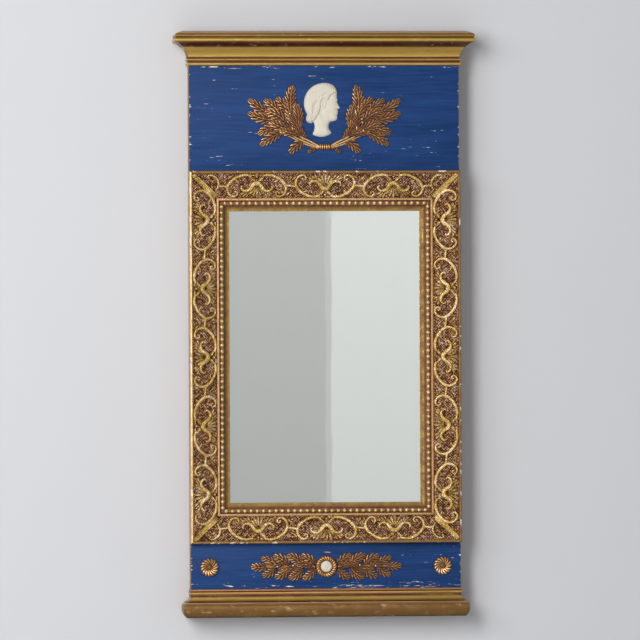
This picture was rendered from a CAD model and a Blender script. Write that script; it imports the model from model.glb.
"""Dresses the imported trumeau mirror: worn gilding, blue painted friezes, pressed strapwork with its pearls,
cast branches, profile head, spray and rosettes, old glass, and the pine carcass and hanger at the back.

Lengths in the property groups are metres. The shaping functions work in millimetres, in the frame of the
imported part, and Casting.piece turns the result into metres."""

import math

import bmesh
import bpy
import numpy as np
from mathutils import Matrix, Vector, noise


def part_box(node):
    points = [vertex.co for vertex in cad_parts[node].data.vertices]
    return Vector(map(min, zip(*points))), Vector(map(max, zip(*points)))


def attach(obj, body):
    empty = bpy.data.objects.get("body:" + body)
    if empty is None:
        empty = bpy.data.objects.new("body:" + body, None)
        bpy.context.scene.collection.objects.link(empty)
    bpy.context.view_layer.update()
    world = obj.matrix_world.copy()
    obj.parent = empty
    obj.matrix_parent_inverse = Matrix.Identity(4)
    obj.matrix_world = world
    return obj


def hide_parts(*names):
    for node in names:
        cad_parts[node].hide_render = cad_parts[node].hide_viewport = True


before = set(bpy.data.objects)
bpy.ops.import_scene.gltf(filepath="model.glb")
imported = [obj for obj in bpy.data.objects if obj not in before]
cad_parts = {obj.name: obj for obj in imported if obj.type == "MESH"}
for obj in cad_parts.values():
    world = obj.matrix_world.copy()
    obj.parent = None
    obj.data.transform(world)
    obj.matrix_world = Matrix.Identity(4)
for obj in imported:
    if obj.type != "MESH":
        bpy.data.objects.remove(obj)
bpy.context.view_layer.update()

bl_info = {
    "name": "Trumeau mirror",
    "version": (1, 0, 0),
    "blender": (4, 5, 0),
    "location": "View3D > Sidebar > Mirror",
    "description": "Builds the visible pieces of a gilt and painted trumeau mirror",
    "category": "Object",
}

SIDES = {"left": -1, "right": 1}
MITRE_GAP = 0.2
SUNK_IN_BAND = -0.6  # how far the edges of pressed ornament go into their ground
SUNK_IN_BOARD = -0.05  # and those of castings into the friezes


def mm(length):
    return length * 1000


def metres(length):
    return length / 1000


def corner(node, which):
    """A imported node's lowest (0) or highest (1) corner, in millimetres."""
    return [mm(value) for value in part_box(node)[which]]


def middle(node, axis):
    return (corner(node, 0)[axis] + corner(node, 1)[axis]) / 2


FRAME_HALF_X = corner("frame_moulding_right", 1)[0]
FRAME_HALF_Z = corner("frame_moulding_top", 1)[2]
CARCASS_FRONT = corner("frame_moulding_top", 1)[1]
CARCASS_BACK = corner("stile_left", 1)[1]
BODY_HALF = corner("frieze_board_upper", 1)[0]
FRIEZE_FRONT = corner("frieze_board_upper", 0)[1]
CORNICE_FOOT = corner("cornice_front", 0)[2]
CORNICE_TOP = corner("cornice_front", 1)[2]
BASE_FOOT = corner("base_front", 0)[2]
BASE_HEAD = corner("base_front", 1)[2]
ORNAMENT_FACE = corner("laurel_branch_left", 1)[1]
TIE_Z = middle("branch_tie", 2)
SPRAY_Z = middle("spray_button", 2)
HEAD_BOX = corner("profile_head", 0), corner("profile_head", 1)
ROSETTE_X = middle("rosette_right", 0)


# ---------------------------------------------------------------- settings


def length(name, description, default):
    return bpy.props.FloatProperty(
        name=name, description=description, default=default, min=0, unit="LENGTH", precision=5
    )


def colour(name, description, red, green, blue):
    """A colour property, from the 0 to 255 values that a paint chart gives."""
    return bpy.props.FloatVectorProperty(
        name=name, description=description, default=chart(red, green, blue), size=4, subtype="COLOR"
    )


def chart(red, green, blue):
    """A colour in linear light, from 0 to 255 values."""
    def linear(value):
        value /= 255
        return value / 12.92 if value <= 0.04045 else ((value + 0.055) / 1.055) ** 2.4

    return linear(red), linear(green), linear(blue), 1


class MouldingSizes(bpy.types.PropertyGroup):
    rim: length("Rim", "Width of the frame's outer arris", 0.0038)
    band: length("Band", "Width of the ornamented slope", 0.0346)
    fillet: length("Fillet", "Width of the raised line inside the band", 0.0034)
    bed: length("Pearl bed", "Width of the hollow that holds the pearls", 0.007)
    sight: length("Sight edge", "Width of the flat next to the glass", 0.0022)
    wander: length("Wander", "How far hand-cut edges stray", 0.00012)
    chips: length("Chips", "Depth of the bites out of the rim", 0.0009)


class OrnamentSizes(bpy.types.PropertyGroup):
    motif_pitch: length("Motif pitch", "Distance between two strapwork motifs", 0.0958)
    strap: length("Strap", "Width of a strap", 0.0046)
    strap_relief: length("Strap relief", "How far a strap stands off the ground", 0.0023)
    pearl_pitch: length("Pearl pitch", "Distance between two pearls", 0.00825)
    pearl: length("Pearl", "Radius of a pearl", 0.0033)
    leaf_relief: length("Leaf relief", "How far a cast leaf stands off the frieze", 0.0036)
    veins: bpy.props.IntProperty(
        name="Veins", description="Side veins on each half of a cast leaf", default=5, min=3
    )
    rosette_petals: bpy.props.IntProperty(
        name="Rosette petals", description="Petals round a rosette", default=15, min=5
    )


class FinishColours(bpy.types.PropertyGroup):
    blue: colour("Frieze blue", "Paint of the friezes", 25, 62, 117)
    pale: colour("Rubbed gold", "Leaf worn bright on the highest places", 246, 218, 176)
    gold: colour("Gold", "Leaf on the cornice and on raised ornament", 204, 164, 84)
    brass: colour("Brass", "Leaf of the cornice in its hollow", 180, 146, 66)
    olive: colour("Olive gold", "Leaf dulled by varnish", 152, 124, 56)
    bole: colour("Bole", "Red clay under the leaf", 122, 70, 42)
    umber: colour("Umber", "Browned leaf of the base", 128, 92, 48)
    rose: colour("Rose", "Thin leaf with the clay showing through", 190, 142, 108)
    gesso: colour("Gesso", "White ground where the finish has gone", 236, 222, 208)
    dirt: colour("Dirt", "What has gathered in the hollows", 48, 25, 12)
    bronze: colour("Bronze", "Brown metal powder on the cast leaves", 142, 86, 42)
    plaster: colour("Plaster", "Head and button", 219, 212, 195)
    pine: colour("Pine", "Carcass wood", 186, 152, 104)
    board: colour("Backboard", "Darkened board at the back", 132, 106, 76)


class StageSettings(bpy.types.PropertyGroup):
    azimuth: bpy.props.FloatProperty(
        name="Azimuth", description="Camera's turn round the mirror", default=math.radians(-5),
        subtype="ANGLE",
    )
    roll: bpy.props.FloatProperty(
        name="Roll", description="Camera's tilt", default=math.radians(0.25), subtype="ANGLE"
    )
    distance: length("Distance", "From the camera to the mirror", 8.0)
    view: length("Field", "Width of what the camera sees at the mirror", 0.900)
    wall: colour("Wall", "Colour of the wall and the floor", 212, 212, 214)


# ---------------------------------------------------------------- shader arithmetic


class Value:
    """A node's output that can be used in sums."""

    def __init__(self, graph, socket):
        self.graph, self.socket = graph, socket

    def _math(self, operation, *operands):
        made = self.graph.node("ShaderNodeMath", {"operation": operation}, dict(enumerate(operands)))
        return Value(self.graph, made.outputs[0])

    def __add__(self, other):
        return self._math("ADD", self, other)

    __radd__ = __add__

    def __sub__(self, other):
        return self._math("SUBTRACT", self, other)

    def __rsub__(self, other):
        return self._math("SUBTRACT", other, self)

    def __mul__(self, other):
        return self._math("MULTIPLY", self, other)

    __rmul__ = __mul__

    def __truediv__(self, other):
        return self._math("DIVIDE", self, other)

    def __mod__(self, other):
        return self._math("MODULO", self, other)

    def __abs__(self):
        return self._math("ABSOLUTE", self)

    def sine(self):
        return self._math("SINE", self)

    def lower(self, other):
        return self._math("MINIMUM", self, other)

    def higher(self, other):
        return self._math("MAXIMUM", self, other)

    def step(self, low, high):
        """Rises smoothly from 0 at low to 1 at high; low may be the larger."""
        made = self.graph.node(
            "ShaderNodeMapRange", {"interpolation_type": "SMOOTHSTEP"},
            {"Value": self, "From Min": low, "From Max": high},
        )
        return Value(self.graph, made.outputs["Result"])


class Graph:
    """A node tree being written."""

    def __init__(self, tree):
        self.tree = tree

    def node(self, kind, settings=None, inputs=None):
        made = self.tree.nodes.new(kind)
        for key, value in (settings or {}).items():
            if key == "stops":
                self._stops(made.color_ramp, value)
            else:
                setattr(made, key, value)
        for key, value in (inputs or {}).items():
            self.feed(made.inputs[key], value)
        return made

    def feed(self, socket, value):
        """Links a socket to an output, or gives it a plain value."""
        if isinstance(value, Value):
            value = value.socket
        if isinstance(value, bpy.types.NodeSocket):
            self.tree.links.new(value, socket)
        else:
            socket.default_value = value

    def vector(self, **parts):
        return self.node("ShaderNodeCombineXYZ", inputs=parts).outputs[0]

    def ramp(self, amount, *stops):
        """Colours at positions from 0 to 1, read at an amount."""
        return self.node("ShaderNodeValToRGB", {"stops": stops}, {"Fac": amount}).outputs[0]

    def blend(self, amount, first, second):
        """The first colour, with the second over it by an amount."""
        made = self.node("ShaderNodeMix", {"data_type": "RGBA"}, {"Factor": amount, 6: first, 7: second})
        return made.outputs[2]

    @staticmethod
    def _stops(ramp, stops):
        while len(ramp.elements) < len(stops):
            ramp.elements.new(0.5)
        for element, (position, shade) in zip(ramp.elements, stops):
            element.position = position
            element.color = shade


class Finish(Graph):
    """A material on one surface shader, with the patterns that these finishes share. Lengths in the
    patterns are millimetres."""

    def __init__(self, name):
        self.material = bpy.data.materials.new(name)
        self.material.use_nodes = True
        super().__init__(self.material.node_tree)
        self.tree.nodes.clear()
        self.surface = self.node("ShaderNodeBsdfPrincipled")
        self.node("ShaderNodeOutputMaterial", inputs={"Surface": self.surface.outputs[0]})
        place = self.node("ShaderNodeTexCoord").outputs["Object"]
        scaled = self.node("ShaderNodeVectorMath", {"operation": "SCALE"}, {0: place, "Scale": mm(1.0)})
        self.place = scaled.outputs[0]
        split = self.node("ShaderNodeSeparateXYZ", inputs={0: self.place})
        self.x, self.y, self.z = (Value(self, output) for output in split.outputs)

    def stretched(self, across, deep, up):
        """The place, with each direction multiplied, for grain and brush marks."""
        made = self.node(
            "ShaderNodeVectorMath", {"operation": "MULTIPLY"}, {0: self.place, 1: (across, deep, up)}
        )
        return made.outputs[0]

    def cloud(self, size, detail=3.0, rough=0.55, place=None, shift=0.0):
        """Noise with spots about size across, centred on a half."""
        apart = (shift, shift * 0.7, shift * 1.3)
        at = self.node("ShaderNodeVectorMath", {"operation": "ADD"}, {0: place or self.place, 1: apart})
        made = self.node("ShaderNodeTexNoise", inputs={
            "Vector": at.outputs[0], "Scale": 1 / size, "Detail": detail, "Roughness": rough
        })
        return Value(self, made.outputs[0])

    def mark(self, name):
        made = self.node("ShaderNodeAttribute", {"attribute_name": name})
        return Value(self, made.outputs["Fac"])

    def paint(self, base, roughness, metallic=0.0):
        for name, value in (("Base Color", base), ("Roughness", roughness), ("Metallic", metallic)):
            self.feed(self.surface.inputs[name], value)

    def grain(self, height, depth):
        """Bumps whose full height is depth in millimetres."""
        made = self.node(
            "ShaderNodeBump", inputs={"Strength": 1.0, "Distance": metres(depth), "Height": height}
        )
        self.feed(self.surface.inputs["Normal"], made.outputs[0])


def tinted(shade, share, lift=0.0):
    """A colour made darker or lighter."""
    return (*(min(1, share * value + lift) for value in shade[:3]), 1)


# ---------------------------------------------------------------- finishes


def leaf_ramp(finish, colours, tone):
    """Gilding from what lies deepest, at 0, to what has been rubbed bright, at 1."""
    return finish.ramp(
        tone, (0.0, colours.dirt), (0.24, colours.bole), (0.48, colours.olive), (0.76, colours.gold),
        (1.0, colours.pale),
    )


def gilt_bands(name, colours, foot, height, bands, wear, patches):
    """Gilding on a run moulding, with its own shade at each height above the foot. bands are pairs of a
    height and the name of a colour."""
    finish = Finish(name)
    along_run = finish.cloud(9, 4, 0.6, place=finish.stretched(0.1, 0.1, 1.6))
    fine = finish.cloud(1.7, 5, 0.65, place=finish.stretched(0.3, 0.3, 1.3), shift=31)
    broad = finish.cloud(34, 3, 0.5, place=finish.stretched(0.6, 0.6, 1.4), shift=7)
    level = (finish.z - foot + (along_run - 0.5) * 1.6) / height
    shade = finish.ramp(level, *((at / height, getattr(colours, tint)) for at, tint in bands))
    dulled = (broad - 0.5) * 1.4 + (fine - 0.5) * 0.5
    shade = finish.blend(dulled.step(0.0, 0.5) * patches, shade, colours.olive)
    shade = finish.blend(dulled.step(-0.1, -0.5) * patches, shade, colours.gold)
    rubbed = (along_run * 0.6 + fine * 0.6).step(0.68, 0.8) * wear
    shade = finish.blend(rubbed, shade, colours.bole)
    specks = (fine * 0.6 + along_run * 0.45).step(0.72, 0.75) * wear
    chip = (finish.mark("chip") * fine.step(0.46, 0.56)).higher(specks)
    shade = finish.blend(chip * 0.6, shade, chart(206, 174, 132))
    leaf = 1 - rubbed * 0.7 - chip * 0.5
    finish.paint(shade, 0.7 - leaf * 0.32, leaf * 0.7)
    finish.grain(fine + along_run * 1.2, 0.3)
    return finish.material


CORNICE_BANDS = (
    (0.3, "gold"), (3.9, "gold"), (4.8, "dirt"), (6.4, "bole"), (7.2, "rose"), (8.8, "brass"),
    (9.8, "olive"), (10.6, "bole"), (11.6, "dirt"), (12.8, "gold"), (19.0, "brass"), (25.0, "gold"),
    (26.0, "bole"), (29.0, "dirt"), (31.8, "bole"), (32.8, "olive"), (33.6, "gold"), (37.6, "gold"),
    (38.8, "dirt"), (39.8, "olive"), (43.4, "olive"), (44.2, "bole"), (45.2, "rose"), (47.0, "rose"),
    (47.9, "dirt"),
)
BASE_BANDS = (
    (0.2, "dirt"), (2.5, "umber"), (7.0, "umber"), (12.0, "umber"), (17.6, "umber"), (18.8, "rose"),
    (20.2, "rose"), (21.2, "bole"), (21.9, "dirt"), (23.0, "olive"), (25.4, "gold"), (27.6, "olive"),
    (28.8, "bole"), (30.0, "dirt"), (31.4, "bole"), (32.4, "rose"), (34.4, "gold"), (35.6, "bole"),
    (36.8, "dirt"), (37.6, "rose"), (38.8, "bronze"),
)


def frame_gilt(colours):
    """Frame moulding: the mark "relief" says how bright each strip of its section is."""
    finish = Finish("frame_gilt")
    streak = finish.cloud(8, 4, 0.62, shift=11)
    fine = finish.cloud(1.5, 4, 0.65)
    tone = finish.mark("relief") + (streak - 0.5) * 0.6 + (fine - 0.5) * 0.4
    shade = leaf_ramp(finish, colours, tone)
    rose = finish.mark("rose")
    thin = (streak * 0.6 + fine * 0.5).step(0.48, 0.7) * rose
    shade = finish.blend(thin * 0.6 + rose * 0.36, shade, chart(208, 156, 122))
    chip = finish.mark("chip").step(0.2, 0.5)
    shade = finish.blend(chip, shade, colours.gesso)
    leaf = tone.step(0.2, 0.5) * (1 - chip)
    finish.paint(shade, 0.64 - leaf * 0.28, leaf * 0.7)
    finish.grain(streak + fine, 0.3)
    return finish.material


def strapwork_gilt(colours):
    """Pressed ornament: leaf on the straps, over a reddish ground of fine diamonds whose tops are rubbed
    to rose and white."""
    finish = Finish("strapwork_gilt")
    lift = finish.mark("relief")
    bend = (finish.cloud(7, 2, shift=51) - 0.5) * 3.0
    rising, falling = (
        abs((slope * 0.84 + bend).sine()) for slope in (finish.x + finish.z, finish.x - finish.z)
    )
    diamond = rising * falling
    fine = finish.cloud(1.3, 4, 0.68)
    broad = finish.cloud(15, 3, 0.55, shift=5)
    worn = finish.cloud(4.2, 4, 0.65, shift=23)
    pebble = finish.cloud(2.6, 3, 0.6, shift=71)
    tone = (diamond * 0.6 + (pebble - 0.5) * 3.1 + (fine - 0.5) * 0.7 + (broad - 0.5) * 0.7
            + (worn - 0.5) * 1.1 + 0.16)
    ground = finish.ramp(
        tone, (0.05, colours.dirt), (0.27, chart(108, 52, 22)), (0.5, chart(158, 92, 42)),
        (0.72, chart(228, 168, 108)), (0.94, colours.gesso),
    )
    on_strap = lift * 0.68 + (worn - 0.5) * 1.1 + (fine - 0.5) * 0.5 + (broad - 0.5) * 0.7 + 0.14
    gold = leaf_ramp(finish, colours, on_strap)
    lost = (worn * 0.7 + fine * 0.4).step(0.64, 0.69) * lift.step(0.5, 0.9)
    under = finish.blend(broad.step(0.45, 0.6), colours.rose, colours.gesso)
    gold = finish.blend(lost * 0.75, gold, under)
    relief = lift.step(0.06, 0.2)
    leaf = relief * lift.step(0.2, 0.5) * (1 - lost * 0.7)
    glint = (1 - relief) * tone.step(0.4, 0.7)
    finish.paint(finish.blend(relief, ground, gold), 0.56 - leaf * 0.26 - glint * 0.16,
                 leaf * 0.7 + glint * 0.3)
    finish.grain((diamond * 1.5 + pebble * 2.2) * (1 - relief) + fine * 0.9 + worn * 0.5, 1.1)
    return finish.material


def pearl_gilt(colours):
    """Leaf worn to a warm white on the tops of the pearls."""
    finish = Finish("pearl_gilt")
    lift = finish.mark("relief")
    fine = finish.cloud(2.2, 4, 0.62)
    broad = finish.cloud(22, 2, shift=3)
    tone = lift * 0.62 + 0.26 + (fine - 0.5) * 0.7 + (broad - 0.5) * 0.4
    shade = leaf_ramp(finish, colours, tone)
    bare = finish.cloud(3.4, 3, shift=41).step(0.46, 0.62) * lift.step(0.2, 0.6)
    shade = finish.blend(bare * 0.75, shade, chart(222, 178, 142))
    leaf = tone.step(0.25, 0.6) * (1 - bare * 0.6)
    finish.paint(shade, 0.6 - leaf * 0.26, leaf * 0.7)
    finish.grain(fine, 0.2)
    return finish.material


def cast_bronze(colours):
    """Bronzed leaves: dark in the furrows, brown on the blades and gold along the ridges and the tips."""
    finish = Finish("cast_bronze")
    lift = finish.mark("relief")
    fine = finish.cloud(1.4, 4, 0.62)
    broad = finish.cloud(10, 3, shift=9)
    tone = lift * 0.95 - 0.1 + (fine - 0.5) * 0.5 + (broad - 0.5) * 0.5
    shade = finish.ramp(
        tone, (0.08, colours.dirt), (0.3, chart(96, 52, 24)), (0.5, colours.bronze),
        (0.68, chart(210, 156, 84)), (0.9, colours.pale),
    )
    leaf = tone.step(0.25, 0.7)
    finish.paint(shade, 0.6 - leaf * 0.26, leaf * 0.75)
    finish.grain(fine, 0.2)
    return finish.material


def frieze_paint(colours):
    """Blue distemper laid on with long strokes across, chipped to the white ground at its edges."""
    finish = Finish("frieze_paint")
    strokes = finish.cloud(2.0, 4, 0.6, place=finish.stretched(0.04, 0.2, 1.0))
    wide = finish.cloud(15, 3, place=finish.stretched(0.12, 0.5, 1.0), shift=13)
    fine = finish.cloud(0.9, 3, 0.6, place=finish.stretched(0.1, 0.5, 1.0), shift=29)
    deep, fresh = tinted(colours.blue, 0.7), tinted(colours.blue, 1.2, 0.006)
    shade = finish.blend((strokes * 0.6 + wide * 0.55).step(0.34, 0.84), deep, fresh)
    shade = finish.blend(fine.step(0.62, 0.8) * 0.25, shade, fresh)
    flakes = finish.cloud(4.2, 4, 0.6, place=finish.stretched(0.2, 1, 1.8), shift=3)
    rare = finish.cloud(48, 2, shift=37)
    top_edge = finish.z.step(CORNICE_FOOT - 6, CORNICE_FOOT - 1)
    foot_edge = finish.z.step(BASE_HEAD + 20, BASE_HEAD + 3) * finish.z.step(0, -10)
    near_face = finish.y.step(FRIEZE_FRONT + 2.5, FRIEZE_FRONT)
    sides = abs(finish.x).step(BODY_HALF - 3.5, BODY_HALF) * near_face
    at_edge = (top_edge * 0.115).higher(foot_edge * 0.085).higher(sides * 0.13)
    chipped = (flakes + at_edge + (rare - 0.5) * 0.3).step(0.722, 0.732)
    right_foot = finish.x.step(-40, 70) * foot_edge
    scraped = fine * 0.5 + strokes * 0.5 + right_foot * 0.085 + foot_edge * 0.03 + (rare - 0.5) * 0.2
    bare = chipped.higher(scraped.step(0.672, 0.69) * 0.9)
    shade = finish.blend(bare, shade, colours.gesso)
    grain = finish.cloud(1.6, 4, 0.6, place=finish.stretched(0.05, 0.4, 1), shift=61)
    wood = finish.blend(grain, colours.pine, colours.board)
    unpainted = (finish.y + (wide - 0.5) * 4).step(FRIEZE_FRONT + 9, FRIEZE_FRONT + 10)
    shade = finish.blend(unpainted, shade, wood)
    finish.paint(shade, 0.44 + wide * 0.2 + bare * 0.3, 0.0)
    finish.surface.inputs["Specular IOR Level"].default_value = 0.14
    finish.grain(strokes + fine * 0.6 - bare * 1.6, 0.14)
    return finish.material


def cast_plaster(colours):
    """Off-white plaster, with dust in its lines and a few stains."""
    finish = Finish("cast_plaster")
    lift = finish.mark("relief")
    stains = finish.cloud(11, 4, 0.6, shift=2)
    fine = finish.cloud(1.2, 4, 0.6)
    dust = tinted(colours.plaster, 0.5)
    shade = finish.blend(stains.step(0.48, 0.8) * 0.22, colours.plaster, dust)
    shade = finish.blend(lift.step(0.55, 0.0) * 0.6, shade, dust)
    pits = finish.cloud(2.0, 2, shift=53).step(0.7, 0.74)
    shade = finish.blend(pits * 0.4, shade, dust)
    finish.paint(shade, 0.6 + fine * 0.2, 0.0)
    finish.grain(fine + stains, 0.2)
    return finish.material


def old_mirror(colours):
    """Silvered glass: faintly green, a little hazy, with a few dark specks."""
    finish = Finish("old_mirror")
    right, _, top = corner("mirror_glass", 1)
    edge = (right - abs(finish.x)).lower(top - abs(finish.z)).step(22, 8)
    haze = finish.cloud(30, 5, 0.55)
    foxing = (finish.cloud(4, 5, 0.7, shift=6) + edge * 0.06 + (haze - 0.5) * 0.1).step(0.74, 0.76)
    silver, dull, spot = (0.915, 0.935, 0.92, 1), (0.66, 0.66, 0.63, 1), (0.09, 0.08, 0.07, 1)
    aged = finish.blend(haze.step(0.45, 0.9) * 0.08 + edge * 0.05, silver, dull)
    shade = finish.blend(foxing * 0.8, aged, spot)
    finish.paint(shade, 0.012 + edge * haze * 0.03 + foxing * 0.3, 1 - foxing * 0.6)
    finish.grain(finish.cloud(70, 1), 0.03)
    return finish.material


def plain_wood(name, tint, lengthwise, rough, streaks):
    """Planed or sawn softwood with its grain running along x ("x") or z ("z")."""
    finish = Finish(name)
    stretch = (0.045, 1.0, 1.0) if lengthwise == "x" else (1.0, 1.0, 0.045)
    fibres = finish.stretched(*stretch)
    grain = finish.cloud(2.0, 5, 0.65, place=fibres)
    rings = finish.cloud(13, 2, place=fibres, shift=8)
    lines = abs((rings * 34).sine())
    stain = finish.cloud(46, 4, 0.6, shift=21)
    dark = tinted(tint, 0.42)
    shade = finish.blend((grain * 0.6 + lines * 0.35).step(0.25, 0.85), dark, tint)
    shade = finish.blend(stain.step(0.45, 0.8) * streaks, shade, dark)
    finish.paint(shade, 0.7 + grain * 0.2, 0.0)
    finish.grain(grain + lines * 0.4, rough)
    return finish.material


def aged_metal(name, tint, tarnish, roughness):
    """Bare metal under a patchy film."""
    finish = Finish(name)
    spots = finish.cloud(3.2, 5, 0.65)
    film = finish.cloud(9, 3, shift=4)
    amount = (spots * 0.7 + film * 0.5).step(0.45, 0.75)
    shade = finish.blend(amount, tint, tarnish)
    finish.paint(shade, roughness + amount * 0.35, 1 - amount * 0.45)
    finish.grain(spots, 0.08)
    return finish.material


MATERIALS = {}


def material(key):
    """Each finish is made once, when a piece first asks for it."""
    if key not in MATERIALS:
        MATERIALS[key] = FINISHES[key](bpy.context.scene.mirror_colours)
    return MATERIALS[key]


FINISHES = {
    "frieze": frieze_paint,
    "frame": frame_gilt,
    "strapwork": strapwork_gilt,
    "pearls": pearl_gilt,
    "bronze": cast_bronze,
    "plaster": cast_plaster,
    "glass": old_mirror,
    "cornice": lambda colours: gilt_bands(
        "cornice_gilt", colours, CORNICE_FOOT, CORNICE_TOP - CORNICE_FOOT, CORNICE_BANDS, 0.5, 0.3
    ),
    "base": lambda colours: gilt_bands(
        "base_gilt", colours, BASE_FOOT, BASE_HEAD - BASE_FOOT, BASE_BANDS, 0.8, 0.65
    ),
    "pine_upright": lambda colours: plain_wood("pine_upright", colours.pine, "z", 0.3, 0.5),
    "pine_across": lambda colours: plain_wood("pine_across", colours.pine, "x", 0.3, 0.5),
    "board": lambda colours: plain_wood("backboard_wood", colours.board, "z", 0.5, 0.8),
    "iron": lambda colours: aged_metal("nail_iron", (0.2, 0.19, 0.18, 1), (0.12, 0.055, 0.03, 1), 0.45),
    "brass": lambda colours: aged_metal("hanger_brass", (0.62, 0.44, 0.17, 1), (0.2, 0.13, 0.05, 1), 0.3),
}


# ---------------------------------------------------------------- shaping


def along(points, spacing, closed=False):
    """A smooth run through points, resampled to an even spacing."""
    points = np.asarray(points, float)
    if closed:
        points = np.vstack([points[-1], points, points[0], points[1]])
    else:
        points = np.vstack([2 * points[0] - points[1], points, 2 * points[-1] - points[-2]])
    t = np.linspace(0, 1, 13)[:-1, None]
    parts = [
        0.5 * (2 * b + (c - a) * t + (2 * a - 5 * b + 4 * c - d) * t**2 + (3 * b - a - 3 * c + d) * t**3)
        for a, b, c, d in zip(points, points[1:], points[2:], points[3:])
    ]
    run = np.vstack(parts + [points[-2][None]])
    reach = np.concatenate([[0], np.cumsum(np.linalg.norm(np.diff(run, axis=0), axis=1))])
    count = max(3, int(round(reach[-1] / spacing)) + 1)
    at = np.linspace(0, reach[-1], count)
    run = np.stack([np.interp(at, reach, run[:, k]) for k in range(run.shape[1])], axis=1)
    return run[:-1] if closed else run


def sideways(run):
    """The unit normal to the left of a flat run of points."""
    tangent = np.gradient(run, axis=0)
    tangent /= np.linalg.norm(tangent, axis=1)[:, None] + 1e-9
    return np.stack([-tangent[:, 1], tangent[:, 0]], axis=1)


def arc(centre, radius, start, end, count):
    """Points of a circle from one angle to another."""
    angle = np.linspace(start, end, count)
    return [(centre[0] + radius * math.cos(a), centre[1] + radius * math.sin(a)) for a in angle]


def swept(*controls, count):
    """Points of a curve from the first control to the last, drawn towards those between."""
    t = np.linspace(0, 1, count)[:, None]
    row = [np.asarray(point, float) for point in controls]
    while len(row) > 1:
        row = [a * (1 - t) + b * t for a, b in zip(row, row[1:])]
    return [tuple(point) for point in row[0]]


def turned(rows, sides, at=(0, 0)):
    """Rings about the z axis, or an axis beside it, from rows of (radius, height)."""
    angle = np.linspace(0, 2 * np.pi, sides, endpoint=False)
    return np.array([
        np.column_stack([at[0] + r * np.cos(angle), at[1] + r * np.sin(angle), np.full(sides, h)])
        for r, h in rows
    ])


def chord_of(root, tip):
    """Two points as arrays, the way between them and the unit normal to its left."""
    root, tip = np.asarray(root, float), np.asarray(tip, float)
    chord = tip - root
    return root, tip, chord, np.array([-chord[1], chord[0]]) / np.linalg.norm(chord)


def crosswise(at, normal, offset, height):
    """A row of points across a run: offsets along its normal, and heights."""
    return np.column_stack([at[0] + normal[0] * offset, at[1] + normal[1] * offset, height])


def facing(points):
    """Turns rows of (x, y, height) to face the front, as (x, -height, y)."""
    return points[..., [0, 2, 1]] * (1, -1, 1)


def on_frieze(z):
    """Moves points to the face of the friezes, at a height."""
    return lambda points: points + (0, ORNAMENT_FACE, z)


def mirrored(rows, sign):
    """Rows of (along, across) for the one side (1) or the other (-1)."""
    return [(sign * s, t) for s, t in rows]


def stray(place, size, seed=0.0):
    """Smooth noise between about -1 and 1."""
    return noise.noise(Vector(place) / size + Vector((seed, seed * 1.7, seed * 0.3)))


# What the finishes read at a point: brightness, bare ground and thin leaf.
MARKS = "relief", "chip", "rose"


class Casting:
    """Points, faces and marks gathered into one piece."""

    def __init__(self):
        self.points = []
        self.faces = []
        self.marks = {mark: [] for mark in MARKS}
        self.count = 0

    def add(self, points, faces, **marks):
        points = np.asarray(points, float).reshape(-1, 3)
        self.faces.extend([[point + self.count for point in face] for face in faces])
        self.points.append(points)
        for name, values in self.marks.items():
            values.append(np.broadcast_to(np.ravel(marks.get(name, 0.0)), len(points)))
        self.count += len(points)

    def loft(self, rings, loop=False, **marks):
        """A closed skin through rings of points; loop joins the last ring to the first."""
        rings = np.asarray(rings, float)
        rows, columns, _ = rings.shape
        index = np.arange(rows * columns).reshape(rows, columns)
        ahead = np.roll(index, -1, axis=1)
        faces = []
        for r in range(rows if loop else rows - 1):
            n = (r + 1) % rows
            faces.extend(np.stack([index[r], ahead[r], ahead[n], index[n]], axis=1).tolist())
        if not loop:
            faces += [index[0][::-1].tolist(), index[-1].tolist()]
        self.add(rings, faces, **marks)

    def placed(self, mapping):
        """Moves every point gathered so far through a function of an array of points."""
        self.points = [mapping(np.vstack(self.points))]

    def mesh(self, name, sharp=35):
        data = bpy.data.meshes.new(name)
        data.from_pydata(metres(np.vstack(self.points)).tolist(), [], self.faces)
        for mark, values in self.marks.items():
            attribute = data.attributes.new(mark, "FLOAT", "POINT")
            attribute.data.foreach_set("value", np.concatenate(values).astype(np.float32))
        tidy(data, sharp)
        return data

    def piece(self, name, key, replaces, sharp=35, body="mirror"):
        return dressed(name, self.mesh(name, sharp), key, replaces, body)


def tidy(data, sharp):
    """Merges doubles, turns every face outwards and rounds the shading below an angle."""
    mesh = bmesh.new()
    mesh.from_mesh(data)
    bmesh.ops.remove_doubles(mesh, verts=mesh.verts, dist=2e-6)
    bmesh.ops.dissolve_degenerate(mesh, edges=mesh.edges, dist=1e-6)
    bmesh.ops.recalc_face_normals(mesh, faces=mesh.faces)
    mesh.to_mesh(data)
    mesh.free()
    data.shade_smooth()
    data.set_sharp_from_angle(angle=math.radians(sharp))


def linked(name, data):
    """A new object in the scene."""
    made = bpy.data.objects.new(name, data)
    bpy.context.scene.collection.objects.link(made)
    return made


def dressed(name, data, key, replaces, body="mirror"):
    """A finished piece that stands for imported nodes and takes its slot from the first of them."""
    made = linked(name, data)
    data.materials.clear()
    data.materials.append(material(key))
    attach(made, body)
    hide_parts(*replaces)
    return made


# ---------------------------------------------------------------- repeating with Geometry Nodes


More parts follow.
